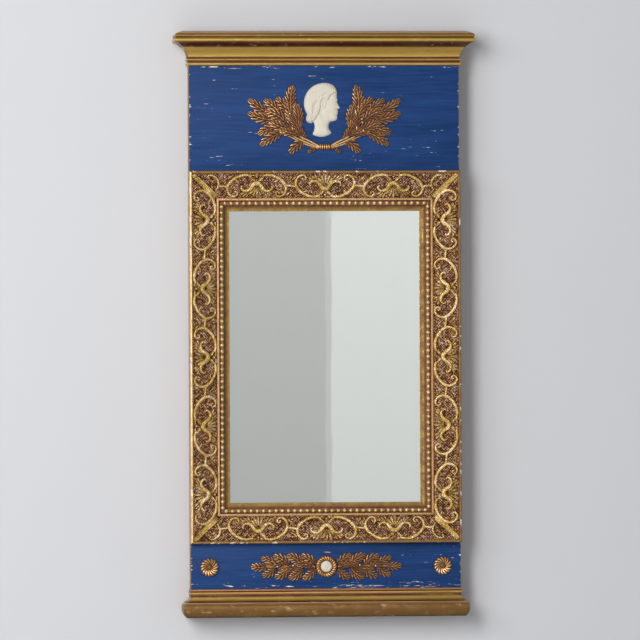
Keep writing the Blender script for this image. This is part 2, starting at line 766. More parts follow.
def casting_tree(name, *more):
    """Starts a tree that repeats a casting: its graph, its inputs, each copy's number and a value by
    chance for each copy."""
    graph = Graph(bpy.data.node_groups.new(name, "GeometryNodeTree"))
    face = graph.tree.interface
    face.new_socket("Geometry", in_out="OUTPUT", socket_type="NodeSocketGeometry")
    for label, kind in (
        ("Geometry", "Geometry"), ("Casting", "Object"), ("Finish", "Material"), ("Count", "Int"),
        ("Chance", "Float"), ("Seed", "Int"), *more,
    ):
        face.new_socket(label, in_out="INPUT", socket_type="NodeSocket" + kind)
    given = graph.node("NodeGroupInput").outputs
    number = Value(graph, graph.node("GeometryNodeInputIndex").outputs[0])
    by_chance = graph.node(
        "FunctionNodeRandomValue", {"data_type": "FLOAT"}, {2: -1.0, 3: 1.0, "Seed": given["Seed"]}
    )
    return graph, given, number, Value(graph, by_chance.outputs[1]) * Value(graph, given["Chance"])


def with_copies(graph, given, points, turn, size=(1.0, 1.0, 1.0)):
    """Ends the tree: a copy on each point, made real, joined to the host and coated."""
    source = graph.node("GeometryNodeObjectInfo", inputs={"Object": given["Casting"]})
    copies = graph.node("GeometryNodeInstanceOnPoints", inputs={
        "Points": points.outputs[0], "Instance": source.outputs["Geometry"],
        "Rotation": graph.vector(Z=turn), "Scale": size,
    })
    real = graph.node("GeometryNodeRealizeInstances", inputs={0: copies.outputs[0]})
    joined = graph.node("GeometryNodeJoinGeometry")
    for part in (real.outputs[0], given["Geometry"]):
        graph.feed(joined.inputs[0], part)
    coated = graph.node(
        "GeometryNodeSetMaterial", inputs={"Geometry": joined.outputs[0], "Material": given["Finish"]}
    )
    graph.node("NodeGroupOutput", inputs={0: coated.outputs[0]})
    return graph.tree


def row_tree():
    """Joins its host with copies of an object in a row along x. Every other copy may be turned half
    round, and each may be turned and sized a little by chance."""
    graph, given, number, sway = casting_tree(
        "row_of_castings", ("Pitch", "Float"), ("Half turn", "Float")
    )
    pitch = Value(graph, given["Pitch"])
    start = (Value(graph, given["Count"]) - 1.0) * pitch * -0.5
    line = graph.node("GeometryNodeMeshLine", {"mode": "OFFSET"}, {
        "Count": given["Count"], "Start Location": graph.vector(X=start), "Offset": graph.vector(X=pitch),
    })
    turn = number % 2.0 * Value(graph, given["Half turn"]) + sway * 3.0
    size = graph.vector(X=1.0 + sway, Y=1.0 - sway, Z=1.0 + sway)
    return with_copies(graph, given, line, turn, size)


def ring_tree():
    """Joins its host with copies of an object round a circle in its own plane, each turned to face
    outwards."""
    graph, given, number, sway = casting_tree("ring_of_castings")
    heap = graph.node(
        "GeometryNodeMeshLine", {"mode": "OFFSET"}, {"Count": given["Count"], "Offset": (0.0, 0.0, 0.0)}
    )
    turn = number / Value(graph, given["Count"]) * (2 * math.pi) + sway
    return with_copies(graph, given, heap, turn)


def repeated(name, host, casting, tree, **values):
    """The plain mesh that a tree makes of a host mesh and one casting's mesh."""
    carrier, source = linked(name + "_carrier", host), linked(name + "_casting", casting)
    modifier = carrier.modifiers.new("Repeat", "NODES")
    modifier.node_group = tree
    values["Casting"] = source
    for item in tree.interface.items_tree:
        if item.in_out == "INPUT" and item.name in values:
            modifier[item.identifier] = values[item.name]
    bpy.context.view_layer.update()
    graph = bpy.context.evaluated_depsgraph_get()
    made = bpy.data.meshes.new_from_object(carrier.evaluated_get(graph))
    made.name = name
    carrier.modifiers.remove(modifier)
    for helper in (carrier, source):
        bpy.data.objects.remove(helper)
    return made


# ---------------------------------------------------------------- frame members

# Along, inwards, half the mirror's size across the member, half the member's length, number of motifs.
MEMBERS = {
    "top": ((-1, 0, 0), (0, 0, -1), FRAME_HALF_Z, FRAME_HALF_X, 3),
    "bottom": ((1, 0, 0), (0, 0, 1), FRAME_HALF_Z, FRAME_HALF_X, 3),
    "left": ((0, 0, -1), (1, 0, 0), FRAME_HALF_X, FRAME_HALF_Z, 5),
    "right": ((0, 0, 1), (-1, 0, 0), FRAME_HALF_X, FRAME_HALF_Z, 5),
}
# How far each part of the section stands off the carcass.
BAND_OUTER, BAND_INNER, RIM_TOP, FILLET_TOP, BED_FLOOR, SIGHT_TOP = 24.6, 15.6, 25.8, 16.8, 11.2, 7.0
REBATE_WIDTH, REBATE_DEPTH = 8.0, 4.0


def on_member(side):
    """Maps rows of (along, in from the edge, out from the carcass) to the mirror's frame."""
    along_axis, inward, reach, _, _ = MEMBERS[side]
    basis = np.array([along_axis, inward, (0, -1, 0)], float)
    origin = -np.array(inward, float) * reach + np.array([0, CARCASS_FRONT, 0])
    return lambda points: points @ basis + origin


def member_section(sizes):
    """The frame's section as rows of (in, out, brightness, rose)."""
    rim, band, fillet = mm(sizes.rim), mm(sizes.band), mm(sizes.fillet)
    bed, sight = mm(sizes.bed), mm(sizes.sight)
    band_end = rim + band
    bed_start = band_end + fillet
    bed_end = bed_start + bed
    width = corner("frame_moulding_top", 1)[2] - corner("frame_moulding_top", 0)[2]
    rows = [(0, 0, 0.42, 1), (0, 7, 0.4, 1), (0, 14, 0.42, 1), (0, 21, 0.5, 1)]
    arris = swept((0, 23.4), (0.25, RIM_TOP - 0.2), (1.7, RIM_TOP), count=5)
    rows += [(u, v, 0.42, 0.15) for u, v in arris]
    rows += [(2.9, RIM_TOP, 0.36, 0.1), (rim - 0.35, RIM_TOP - 0.15, 0.26, 0)]
    rows += [(rim, RIM_TOP - 0.6, 0.3, 0), (rim, BAND_OUTER - 1.5, 0.05, 0)]
    rows += [(band_end, BAND_INNER - 1.5, 0.05, 0), (band_end, FILLET_TOP - 0.5, 0.3, 0.5)]
    rows += [(band_end + 0.5, FILLET_TOP, 0.62, 1), (band_end + fillet / 2, FILLET_TOP + 0.12, 0.7, 1)]
    rows += [(bed_start - 0.5, FILLET_TOP, 0.6, 1), (bed_start, FILLET_TOP - 0.6, 0.35, 0.4)]
    rows += [(bed_start, BED_FLOOR + 0.4, 0.1, 0), (bed_start + 0.5, BED_FLOOR, 0.1, 0)]
    rows += [(bed_end, BED_FLOOR, 0.12, 0)]
    cove = swept((bed_end, BED_FLOOR), (bed_end + 1, SIGHT_TOP), (width - sight, SIGHT_TOP), count=7)
    rows += [(u, v, 0.2 + 0.22 * k / 6, 0) for k, (u, v) in enumerate(cove)][1:]
    rows += [(width - 0.5, SIGHT_TOP, 0.56, 0), (width, SIGHT_TOP - 0.5, 0.5, 0)]
    rebate_edge = width - REBATE_WIDTH
    rows += [(width, REBATE_DEPTH, 0.2, 0), (rebate_edge, REBATE_DEPTH, 0.1, 0), (rebate_edge, 0, 0.1, 0)]
    return np.array(rows, float)


def member(side, sizes):
    """One mitred length of frame moulding, with hand-cut edges and bites out of the rim."""
    section = member_section(sizes)
    half = MEMBERS[side][3]
    stations = int(half / 2.2)
    wander, chips = mm(sizes.wander), mm(sizes.chips)
    rings, relief, chip = [], [], []
    for share in np.linspace(-1, 1, 2 * stations + 1):
        u, v = section[:, 0].copy(), section[:, 1].copy()
        run = share * half
        bite = max(0.0, stray((run, 3, len(side)), 9, 4.2) - 0.3) * 3
        small = max(0.0, stray((run, 3, len(side)), 3.1, 9.1) - 0.35) * 2
        lost = min(1.0, bite + small) if abs(share) < 0.985 else 0.0
        on_rim = (v > 23) & (u < mm(sizes.rim) + 0.1)
        shape = wander * np.array([stray((run, 9 * k, len(side)), 13) for k in range(len(u))])
        v += np.where(section[:, 2] > 0.45, shape, 0)
        v -= np.where(on_rim, chips * lost, 0)
        u += np.where(on_rim & (u < 1.2), 0.5 * chips * lost, 0)
        rings.append(np.stack([share * (half - u - MITRE_GAP), u, v], axis=1))
        # The left member's rim is rubbed brighter than the others.
        relief.append(section[:, 2] + 0.45 * (on_rim & (side == "left")))
        chip.append(np.where(on_rim & (u < 2.2), lost, 0))
    casting = Casting()
    casting.loft(rings, relief=relief, chip=chip, rose=[section[:, 3]] * len(rings))
    casting.placed(on_member(side))
    return casting.piece(f"gilt_moulding_{side}", "frame", [f"frame_moulding_{side}"], 30)


# ---------------------------------------------------------------- strapwork

CROSSING = 41.0  # from a motif's middle to where its scroll meets the next one
# Across, up and brightness, as shares.
STRAP_SHAPE = np.array([
    (-1.0, -0.5, 0.02), (-1.0, 0.2, 0.2), (-0.86, 0.62, 0.6), (-0.6, 0.9, 0.95), (-0.25, 1.0, 1.0),
    (0.25, 1.0, 1.0), (0.6, 0.9, 0.95), (0.86, 0.62, 0.6), (1.0, 0.2, 0.2), (1.0, -0.5, 0.02),
])


def strap(casting, route, width, height, widths=((0, 1), (1, 1)), lift=0.0):
    """A rounded strap along a flat route. widths are shares of its length and of its width."""
    run = along(route, 0.8)
    normal = sideways(run)
    share = np.linspace(0, 1, len(run))
    size = np.interp(share, [at for at, _ in widths], [wide for _, wide in widths])
    across, up, mark = STRAP_SHAPE.T
    rings = [
        crosswise(at, side, across * width / 2 * k,
                  np.where(up < 0, SUNK_IN_BAND, up * height * (0.6 + 0.4 * k) + lift))
        for at, side, k in zip(run, normal, size)
    ]
    casting.loft(rings, relief=[mark] * len(run))


def knob(casting, at, radius, height):
    """A small dome."""
    sides = 12
    rows = [(1.0, -0.4), (1.0, 0.25), (0.86, 0.62), (0.55, 0.9), (0.2, 1.0)]
    casting.loft(
        turned([(radius * r, max(SUNK_IN_BAND, height * h)) for r, h in rows], sides, at),
        relief=np.repeat([0.1, 0.4, 0.8, 1.0, 1.0], sides),
    )


def petal(casting, root, tip, width, height, lift=0.0):
    """A rounded petal, dished along its middle."""
    root, tip, chord, normal = chord_of(root, tip)
    share = np.linspace(0, 1, 9)
    spread = np.interp(share, [0, 0.35, 0.7, 0.88, 1], [0.34, 0.7, 1.0, 0.86, 0.28])
    across = np.array([-1, -1, -0.7, -0.35, 0, 0.35, 0.7, 1, 1])
    rise = np.array([0, 0.25, 0.9, 0.85, 0.65, 0.85, 0.9, 0.25, 0])
    mark = [0.02, 0.25, 1, 1, 0.7, 1, 1, 0.25, 0.02]
    rings = []
    for s, w in zip(share, spread):
        at = root + chord * s
        h = rise * height * (0.72 + 0.42 * math.sin(math.pi * min(1, s * 1.05))) + lift
        h[0] = h[-1] = SUNK_IN_BAND
        rings.append(crosswise(at, normal, across * width / 2 * w, h))
    casting.loft(rings, relief=[mark] * len(share))


def palmette(casting, petals, reach, spread, root, height):
    """A fan of petals that spring from under the wings; the middle one is the longest."""
    for angle in np.linspace(-spread / 2, spread / 2, petals):
        direction = np.array([math.sin(angle), math.cos(angle)])
        tip = direction * reach * (1 - 0.15 * abs(angle)) + (0, root)
        petal(casting, direction * 4.4 + (0, root), tip, reach * 0.22, height, lift=0.2)


# Half of a motif, in millimetres along the member and towards the side that its palmette points to.
SCROLL = [(7.6, -13.6), (13, -15.4), (20.5, -15.2), (27.5, -12.6), (33.6, -8.6), (38.4, -3.6), (41.0, 2.0),
          (40.4, 8.0), (37.2, 13.0), (32.8, 15.2), (28.6, 14.2), (26.9, 11.0), (28.6, 8.2), (31.4, 8.8)]
SCROLL_WIDTHS = (0, 0.7), (0.1, 1), (0.52, 1.2), (0.62, 1), (0.82, 0.75), (1, 0.55)
WING = [(0, -3.9), (3.2, -3.2), (6.0, -0.2), (8.8, 3.8), (12.8, 6.6), (17.2, 6.8), (20.6, 4.8), (21.8, 1.6),
        (19.9, -0.2)]
WING_WIDTHS = (0, 0.5), (0.12, 0.72), (0.36, 0.9), (0.7, 1.25), (1, 1.5)  # from a tip to the middle


# Root, tip, width and relief of the motif's leaves, beside the wings and inside the scroll.
MOTIF_LEAVES = [
    ((10.0, -13.6), (2.6, -7.6), 4.4, 0.9), ((9.0, -15.6), (2.4, -15.2), 2.4, 0.8),
    ((11.2, 9.6), (14.6, 15.8), 3.0, 0.7), ((13.8, 9.2), (19.4, 14.6), 3.2, 0.7),
    ((16.4, 9.0), (23.0, 11.8), 3.0, 0.7), ((30.4, -9.0), (25.0, -6.2), 3.0, 0.7),
]


def motif(sizes):
    """A pair of scrolls that curl at their outer ends, a wing-shaped strap across them and a palmette that
    points along +y, with leaves and buds between."""
    width, height = mm(sizes.strap), mm(sizes.strap_relief)
    casting = Casting()
    for half in (-1, 1):
        strap(casting, mirrored(SCROLL, half), width, height, SCROLL_WIDTHS)
        knob(casting, (half * 31.3, 10.2), 1.9, height * 1.3)
        for root, tip, wide, relief in MOTIF_LEAVES:
            petal(casting, *mirrored([root, tip], half), wide, height * relief)
    widths = [(0.5 * share, wide) for share, wide in WING_WIDTHS]
    widths += [(1 - share, wide) for share, wide in widths[-2::-1]]
    strap(casting, mirrored(WING[:0:-1], -1) + WING, width * 1.15, height * 1.3, widths, lift=0.5)
    knob(casting, (0, -13.0), 1.9, height * 1.2)
    palmette(casting, 7, 17.6, 2.1, -0.8, height * 1.25)
    return casting


def mitred_bed(section, reach, lean, stations, mark):
    """A strip with mitred ends: the further in a row of its section lies, the shorter it is."""
    bed = Casting()
    bed.loft([
        [(share * (reach - t * lean), t, h) for t, h in section] for share in np.linspace(-1, 1, stations)
    ], relief=mark)
    return bed


def strip(side, sizes, mouldings):
    """The pressed strip of one member: its ground, a row of motifs, and what ties and ends them."""
    half, motifs = MEMBERS[side][3:]
    pitch, width, height = mm(sizes.motif_pitch), mm(sizes.strap), mm(sizes.strap_relief)
    start, end = mm(mouldings.rim) + 0.15, mm(mouldings.rim) + mm(mouldings.band) - 0.15
    slope = math.atan2(BAND_OUTER - BAND_INNER, mm(mouldings.band))
    middle = (start + end) / 2
    reach = (end - start) / 2 / math.cos(slope)
    section = [(t, 0.0) for t in np.linspace(-reach, reach, 7)] + [(reach, -1.6), (-reach, -1.6)]
    corner_reach = half - middle - MITRE_GAP
    host = mitred_bed(section, corner_reach, math.cos(slope), 41, 0.0)
    tie = pitch / 2 - CROSSING + 0.6
    for k in range(motifs - 1):
        centre = (k - (motifs - 2) / 2) * pitch
        strap(host, [(centre - tie, 1), (centre, 0), (centre + tie, -1)], width * 0.85, height)
        for across in (1, -1):
            for way in (-1, 1):
                petal(host, (centre + way * 1.6, across * 8.0), (centre + way * 6.4, across * 13.6), 2.6,
                      height * 0.65)
            knob(host, (centre, across * 7.2), 1.3, height * 0.7)
            knob(host, (centre, across * 12.6), 1.5, height * 0.8)
    if half < FRAME_HALF_Z:
        for sign in (-1, 1):
            end_pieces(host, sign, motifs / 2 * pitch, width, height)
    single = motif(sizes)
    middle_faces_glass = (motifs - 1) // 2 % 2 == 1
    if not middle_faces_glass:
        single.placed(lambda p: p * (-1, -1, 1))
    counted = repeated(
        f"strapwork_{side}", host.mesh(f"ground_{side}", 40), single.mesh("motif", 40), TREES["row"],
        Finish=material("strapwork"), Count=motifs, Pitch=metres(pitch), Chance=0.0, Seed=3,
        **{"Half turn": math.pi},
    )
    trimmed_at_mitres(counted, corner_reach, slope)
    cos, sin = math.cos(slope), math.sin(slope)
    tilt = np.array([[1, 0, 0], [0, cos, -sin], [0, sin, cos]])
    lifted = 0, middle, (BAND_OUTER + BAND_INNER) / 2
    moved_vertices(counted, lambda p: on_member(side)(p @ tilt + lifted))
    tidy(counted, 40)
    return dressed(f"strapwork_{side}", counted, "strapwork", [f"scroll_strip_{side}"])


def end_pieces(host, sign, start, width, height):
    """Beside a corner leaf: the tie, a curl with its eye, and a bud."""
    def at(*rows):
        return mirrored([(start + s, t) for s, t in rows], sign)

    strap(host, at((-6.6, 1), (0, 0.2), (5.6, 0)), width * 0.85, height)
    curl = at((9.4, 6.6), (6.4, 1.4), (5.6, -4.6), (8.2, -10.6), (13.4, -14.6), (18.6, -15.2),
              (21.2, -12.8))
    strap(host, curl, width * 0.9, height, ((0, 0.6), (0.3, 1), (1, 0.6)))
    knob(host, *at((19.4, -11.6)), 2.1, height * 1.3)
    petal(host, *at((8.0, 6.6), (2.8, 12.6)), 3.0, height * 0.8)
    petal(host, *at((11.0, -3.4), (15.8, -7.8)), 3.0, height * 0.7)


def trimmed_at_mitres(data, reach, slope):
    """Cuts the relief off beside the corner leaves."""
    mesh = bmesh.new()
    mesh.from_mesh(data)
    for sign in (-1, 1):
        lean = Vector((sign, math.cos(slope), 0)).normalized()
        mesh_cut(mesh, Vector((sign * metres(reach), 0, 0)), lean)
    mesh.to_mesh(data)
    mesh.free()


def mesh_cut(mesh, at, normal):
    """Removes what lies in front of a plane and closes the cut."""
    geometry = mesh.verts[:] + mesh.edges[:] + mesh.faces[:]
    result = bmesh.ops.bisect_plane(
        mesh, geom=geometry, dist=1e-7, plane_co=at, plane_no=normal, clear_outer=True
    )
    rim = [part for part in result["geom_cut"] if isinstance(part, bmesh.types.BMEdge)]
    bmesh.ops.holes_fill(mesh, edges=rim, sides=0)


def moved_vertices(data, mapping):
    """Moves a mesh's points, given and returned in millimetres."""
    points = np.empty(len(data.vertices) * 3)
    data.vertices.foreach_get("co", points)
    data.vertices.foreach_set("co", metres(mapping(mm(points.reshape(-1, 3)))).ravel())
    data.update()


# ---------------------------------------------------------------- pearls


def pearl_and_reel(sizes):
    """One pearl and the pair of thin discs after it, on the string's line."""
    radius, pitch = mm(sizes.pearl), mm(sizes.pearl_pitch)
    casting = Casting()
    bead = turned([
        (radius * math.cos(a), radius * math.sin(a) * 1.02) for a in np.linspace(-1.35, 1.45, 6)
    ], 10)
    disc = turned([(1.3, -0.42), (1.75, -0.2), (1.75, 0.2), (1.3, 0.42)], 10)[..., [2, 0, 1]]
    for rings in (bead, *(disc + (pitch / 2 + offset, 0, 0) for offset in (-0.62, 0.62))):
        casting.loft(rings, relief=np.clip((rings[..., 2] + 0.4) / (radius * 0.9), 0, 1))
    return casting


def pearl_run(side, sizes, mouldings):
    """A member's string of pearls on its bed."""
    half = MEMBERS[side][3]
    bed_start = mm(mouldings.rim + mouldings.band + mouldings.fillet)
    bed_end = bed_start + mm(mouldings.bed)
    centre = (bed_start + bed_end) / 2
    room = half - bed_end - 1.5
    count = 2 * int(room / mm(sizes.pearl_pitch)) + 1
    pitch = 2 * room / (count - 1)
    string = [(-2.9, -0.85), (-2.9, -0.5), (-1.6, -0.1), (0, 0.1), (1.6, -0.1), (2.9, -0.5), (2.9, -0.85)]
    host = mitred_bed(string, half - centre - MITRE_GAP, 1, 25, 0.05)
    made = repeated(
        f"pearls_{side}", host.mesh("string", 40), pearl_and_reel(sizes).mesh("pearl", 60), TREES["row"],
        Finish=material("pearls"), Count=count, Pitch=metres(pitch), Chance=0.045, Seed=11 + len(side),
        **{"Half turn": 0.0},
    )
    moved_vertices(made, lambda p: on_member(side)(p + (0, centre, BED_FLOOR + 1.1)))
    tidy(made, 60)
    return dressed(f"pearls_{side}", made, "pearls", [f"pearl_string_{side}"])


# ---------------------------------------------------------------- corner leaves


def corner_leaf(vertical, horizontal, mouldings):
    """A plain pointed leaf laid over a mitre, creased along its middle and rolled at its edges."""
    sign_x, sign_z = SIDES[horizontal], 1 if vertical == "top" else -1
    rim, band_end = mm(mouldings.rim), mm(mouldings.rim + mouldings.band)
    slope = (BAND_OUTER - BAND_INNER) / mm(mouldings.band)
    first, last = rim * math.sqrt(2) + 2.2, band_end * math.sqrt(2) - 2.4
    across = np.array([-1, -1, -0.84, -0.62, -0.3, 0, 0.3, 0.62, 0.84, 1, 1])
    rise = np.array([0, 0.4, 0.9, 0.82, 0.72, 0.86, 0.72, 0.82, 0.9, 0.4, 0])
    mark = [0.2, 0.45, 0.95, 0.8, 0.7, 0.85, 0.7, 0.8, 0.95, 0.45, 0.2]
    rings = []
    for share in np.linspace(0, 1, 25):
        d = first + (last - first) * share
        half = np.interp(share, [0, 0.1, 0.5, 0.82, 0.94, 1], [2.3, 3.4, 4.0, 4.8, 4.3, 2.6])
        top = np.interp(share, [0, 0.1, 0.85, 1], [1.2, 2.6, 3.0, 1.2])
        w = across * half
        seat = BAND_OUTER - ((d - np.abs(w)) / math.sqrt(2) - rim) * slope + 0.1
        level = BAND_OUTER - (d / math.sqrt(2) - rim) * slope
        v = np.where(rise == 0, seat, np.maximum(level + rise * top, seat + 0.25))
        rings.append(np.column_stack([
            sign_x * (FRAME_HALF_X - (d + w) / math.sqrt(2)),
            CARCASS_FRONT - v,
            sign_z * (FRAME_HALF_Z - (d - w) / math.sqrt(2)),
        ]))
    casting = Casting()
    casting.loft(rings, relief=[mark] * len(rings))
    name = f"corner_leaf_{vertical}_{horizontal}"
    return casting.piece(f"gilt_{name}", "strapwork", [name], 50)


# ---------------------------------------------------------------- cornice and base


def cornice_section():
    """Rows of (out from the frieze, up from the foot)."""
    rows = [(0, 0), (0.7, 0)]
    rows += arc((1, 2.3), 2.25, -math.pi / 2, math.pi / 2, 10)
    rows += [(1, 5.2), (1, 6.2)]
    rows += arc((1.6, 8.3), 1.65, -math.pi / 2, math.pi / 2, 8)
    rows += [(1.1, 10.6), (1.1, 11.4)]
    rows += swept((1.3, 11.8), (1.2, 21), (16.2, 32.1), count=16)
    rows += arc((18.7, 35.2), 2.95, -2.2, 1.2, 12)
    rows += [(19.3, 38.9), (19.8, 39.4)]
    rows += swept((20.1, 39.6), (22.6, 41.2), (20.2, 45.6), (8.5, 48), count=10)
    return rows + [(0, 48)]


def base_section():
    """Rows of (out from the frieze, up from the foot), from the top down."""
    top = BASE_HEAD - BASE_FOOT
    rows = [(0, top), (0.5, top), (0.8, top - 0.5), (0.8, top - 2.3)]
    rows += arc((-0.8, top - 5.6), 2.65, 0.95, -0.95, 11)
    rows += [(0.7, top - 8.8), (0.7, top - 9.8)]
    rows += swept((0.8, top - 10.2), (0.9, top - 15.4), (6.5, top - 17.8), count=12)
    rows += [(7.4, top - 18.1), (7.8, top - 18.5), (7.8, top - 19.4)]
    rows += swept((8.1, top - 19.8), (12.8, top - 21), (13.6, top - 34), (6.4, 0), count=16)
    return rows + [(0, 0)]


def worn(out, place, seed):
    """How far a point of a hand-run moulding has strayed or been knocked back, and how bare it is."""
    drift = 0.14 * stray(place, 17, seed)
    knocks = max(0.0, stray(place, 6.5, seed + 5) - 0.42) * 2.2
    push = (drift - knocks * (0.9 if out > 6 else 0.3)) * min(1, out / 2)
    return push, min(1, max(0, -push * 2.2)) if out > 2 else 0


def run_moulding(name, section, foot, key, seed):
    """The front length and both returns of a moulding, mitred where they meet."""
    unworn = 0, 0
    joint = 0.15  # half the gap at a mitre
    back_edge = FRIEZE_FRONT + (CARCASS_FRONT - FRIEZE_FRONT) * 0.98
    rings, chips = [], []
    for share in np.linspace(-1, 1, 141):
        ring, chip = [], [0]
        for out, height in section:
            x = share * (BODY_HALF + out - joint if out > 0.05 else BODY_HALF)
            push, bare = worn(out, (x, out, height), seed) if abs(share) < 1 else unworn
            ring.append((x, FRIEZE_FRONT - out - push, foot + height + push * 0.4))
            chip.append(bare)
        first, last = ((share * BODY_HALF, back_edge, foot + section[k][1]) for k in (0, -1))
        rings.append([first, *ring, last])
        chips.append(chip + [0])
    front = Casting()
    front.loft(rings, chip=chips)
    front.piece(f"gilt_{name}_front", key, [f"{name}_front"], 38)
    for word, side in SIDES.items():
        rings, chips = [], []
        for share in np.linspace(0, 1, 17):
            ring, chip = [], []
            for out, height in section:
                y = CARCASS_BACK + (FRIEZE_FRONT - out + joint - CARCASS_BACK) * share
                place = side * 300 + y, out, height  # apart from the front length's, to wear differently
                push, bare = worn(out, place, seed) if 0 < share < 1 else unworn
                ring.append((side * (BODY_HALF + max(out + push, 0)), y, foot + height + push * 0.4))
                chip.append(bare)
            rings.append(ring)
            chips.append(chip)
        casting = Casting()
        casting.loft(rings, chip=chips)
        casting.piece(f"gilt_{name}_return_{word}", key, [f"{name}_return_{word}"], 38)


# ---------------------------------------------------------------- cast leaves


def veined_leaf(casting, rib, width, relief, veins, lift):
    """An acanthus-like leaf along a rib of (x, z) points. Rounded ridges run forwards from the midrib to
    the scalloped edge, with sharp furrows between them."""
    run = along(rib, 0.5)
    normal = sideways(run)
    share = np.linspace(0, 1, len(run))
    half = [0.12, 0.24, 0.38, 0.54, 0.7, 0.84, 0.95, 1, 1]
    across = np.array([-reach for reach in half[::-1]] + [0] + half)
    reach = np.abs(across)
    slant = 0.3
    outline = np.sin(np.pi * np.clip(0.06 + 0.9 * share**0.9, 0, 1)) ** 0.62
    outline = np.minimum(outline, 3.2 * (1.002 - share) ** 0.8 + 0.05)
    rings, marks = [], []
    for at, side, s, w in zip(run, normal, share, outline):
        ridge = np.sin(np.pi * (veins * (s * 1.04 - slant * reach) % 1) ** 1.3) ** 0.8
        lobe = 0.8 + 0.2 * math.sin(math.pi * (veins * (s * 1.04 - slant) % 1) ** 1.5) ** 0.7
        fade = math.sin(math.pi * min(1, 0.14 + 0.82 * s)) ** 0.6
        arch = np.cos(reach * 1.2) ** 0.8
        rib_line = np.exp(-((reach / 0.09) ** 2))
        furrow = np.exp(-(((reach - 0.17) / 0.07) ** 2))
        blade = arch * (0.36 + 0.64 * ridge * np.minimum(1, reach * 4))
        h = relief * (0.22 + 0.86 * fade * blade) + 0.55 * fade * rib_line - 0.3 * fade * furrow + lift
        half = width / 2 * w * np.where(reach > 0.5, 1 - (1 - lobe) * ((reach - 0.5) / 0.5) ** 1.2, 1)
        h[0] = h[-1] = SUNK_IN_BOARD
        rings.append(facing(crosswise(at, side, across * half, h)))
        mark = 0.02 + 0.95 * ridge**1.5 * np.minimum(1, reach * 5) * (0.7 + 0.3 * reach)
        mark = np.maximum(mark, 0.95 * rib_line) * (1 - 0.8 * furrow) * (0.8 + 0.25 * s)
        mark[0] = mark[-1] = 0.02
        marks.append(np.clip(mark, 0, 1))
    casting.loft(rings, relief=marks)


def cast_stem(casting, points, thick, thin, lift):
    """A round stem along (x, z) points, tapering from one thickness to the other."""
    run = along(points, 1.4)
    normal = sideways(run)
    angle = np.radians([0, 35, 70, 90, 110, 145, 180])
    rings = []
    for at, side, s in zip(run, normal, np.linspace(0, 1, len(run))):
        half = (thick + (thin - thick) * s) / 2
        h = half * 1.25 * np.sin(angle) + lift
        h[0] = h[-1] = SUNK_IN_BOARD
        rings.append(facing(crosswise(at, side, half * np.cos(angle), h)))
    casting.loft(rings, relief=[[0.15, 0.5, 0.85, 1.0, 0.85, 0.5, 0.15]] * len(run))


def berry(casting, at, radius, lift):
    """A round berry on the face."""
    sides = 14
    rows = [(0.75, -0.6), (1.0, 0.0), (0.88, 0.5), (0.6, 0.82), (0.2, 1.0)]
    rings = turned([(radius * r, lift + radius * h) for r, h in rows], sides, at)
    casting.loft(facing(rings), relief=np.repeat([0.1, 0.5, 0.9, 1, 1], sides))


def bent_rib(root, tip, bend):
    """A rib from root to tip that bows sideways by bend."""
    root, tip, chord, normal = chord_of(root, tip)
    bow = normal * bend
    return [root, root + chord * 0.33 + bow * 0.85, root + chord * 0.68 + bow * 0.8, tip]


# Root, tip, width, bend, lift and side veins of each leaf. Points are millimetres from the tie, for the
# right-hand branch. Leaves further down the list lie over the ones before.
BRANCH_LEAVES = [
    ((46, 48), (43.6, 87), 14.5, -3, 0.0, 7),
    ((52, 48), (68, 69), 12.0, 2, 0.0, 5),
    ((62, 45), (85, 66.5), 12.5, 2, 0.0, 6),
    ((74, 46), (107, 67), 13.0, -2, 0.0, 6),
    ((70, 38), (107.5, 48.4), 13.5, -3, 0.2, 6),
    ((62, 26), (93.4, 17.4), 13.5, 3, 0.0, 6),
    ((60, 20), (90.5, 1.5), 13.0, 2, 0.2, 6),
    ((27, 9), (49, -9.5), 12.0, 3, 0.0, 5),
    ((27, 12), (34, 26), 7.5, -1, 0.0, 4),
    ((10, -0.5), (24.5, -9.5), 5.5, 1, 0.0, 4),
    ((38, 26), (41.5, 62), 12.5, 3, 0.9, 7),
    ((46, 28), (56, 62), 13.0, 3, 0.7, 6),
    ((54, 34), (84, 50), 14.5, 3, 0.9, 6),
    ((47, 24), (78, 38), 13.0, -3, 1.1, 6),
    ((36, 18), (66, 27), 11.5, -2, 1.3, 6),
    ((33, 15), (52, 46), 10.5, 3, 1.6, 7),
]
BRANCH_BERRIES = {
    "right": [(52.4, 38.6), (53.1, 33.9), (54.5, 22.3)],
    "left": [(-48.8, 46.3)],
}
BRANCH_STEMS = [
    ([(9.3, 1.6), (22, 8.6), (34, 14.5), (44, 24), (47, 36)], 4.6, 2.0, 0.8),
    ([(9.3, 0), (24, 5.6), (38, 12), (56, 22), (68, 34)], 4.4, 1.8, 0.6),
    ([(9.3, -1.6), (26, 3.4), (40, 10.2), (58, 18), (70, 19)], 3.6, 1.8, 0.4),
]


FIRST_UPPER_LEAF = 10
USUAL_VEINS = 6  # what the leaves' own numbers of veins are given for


def sprig(side, sizes, stems, leaves, seed, wider=1.0, swell=0.1, nod=0.0):
    """Stems and leaves cast together, on the left (-1) or the right (1). Each leaf sways a little, and
    the upper ones lift their tips with it."""
    relief = mm(sizes.leaf_relief)
    casting = Casting()
    for points, thick, thin, lift in stems:
        cast_stem(casting, mirrored(points, side), thick, thin, lift)
    for k, (root, tip, width, bend, lift, veins) in enumerate(leaves):
        sway = stray((k * seed[0], side * seed[1], seed[2]), 1.3)
        tip = tip[0], tip[1] + (nod * sway if k >= FIRST_UPPER_LEAF else 0)
        rib = bent_rib(*mirrored([root, tip], side), side * bend * (1 + 0.3 * sway))
        veins += sizes.veins - USUAL_VEINS
        veined_leaf(casting, rib, width * wider, relief * (1 + swell * sway), veins, lift)
    return casting


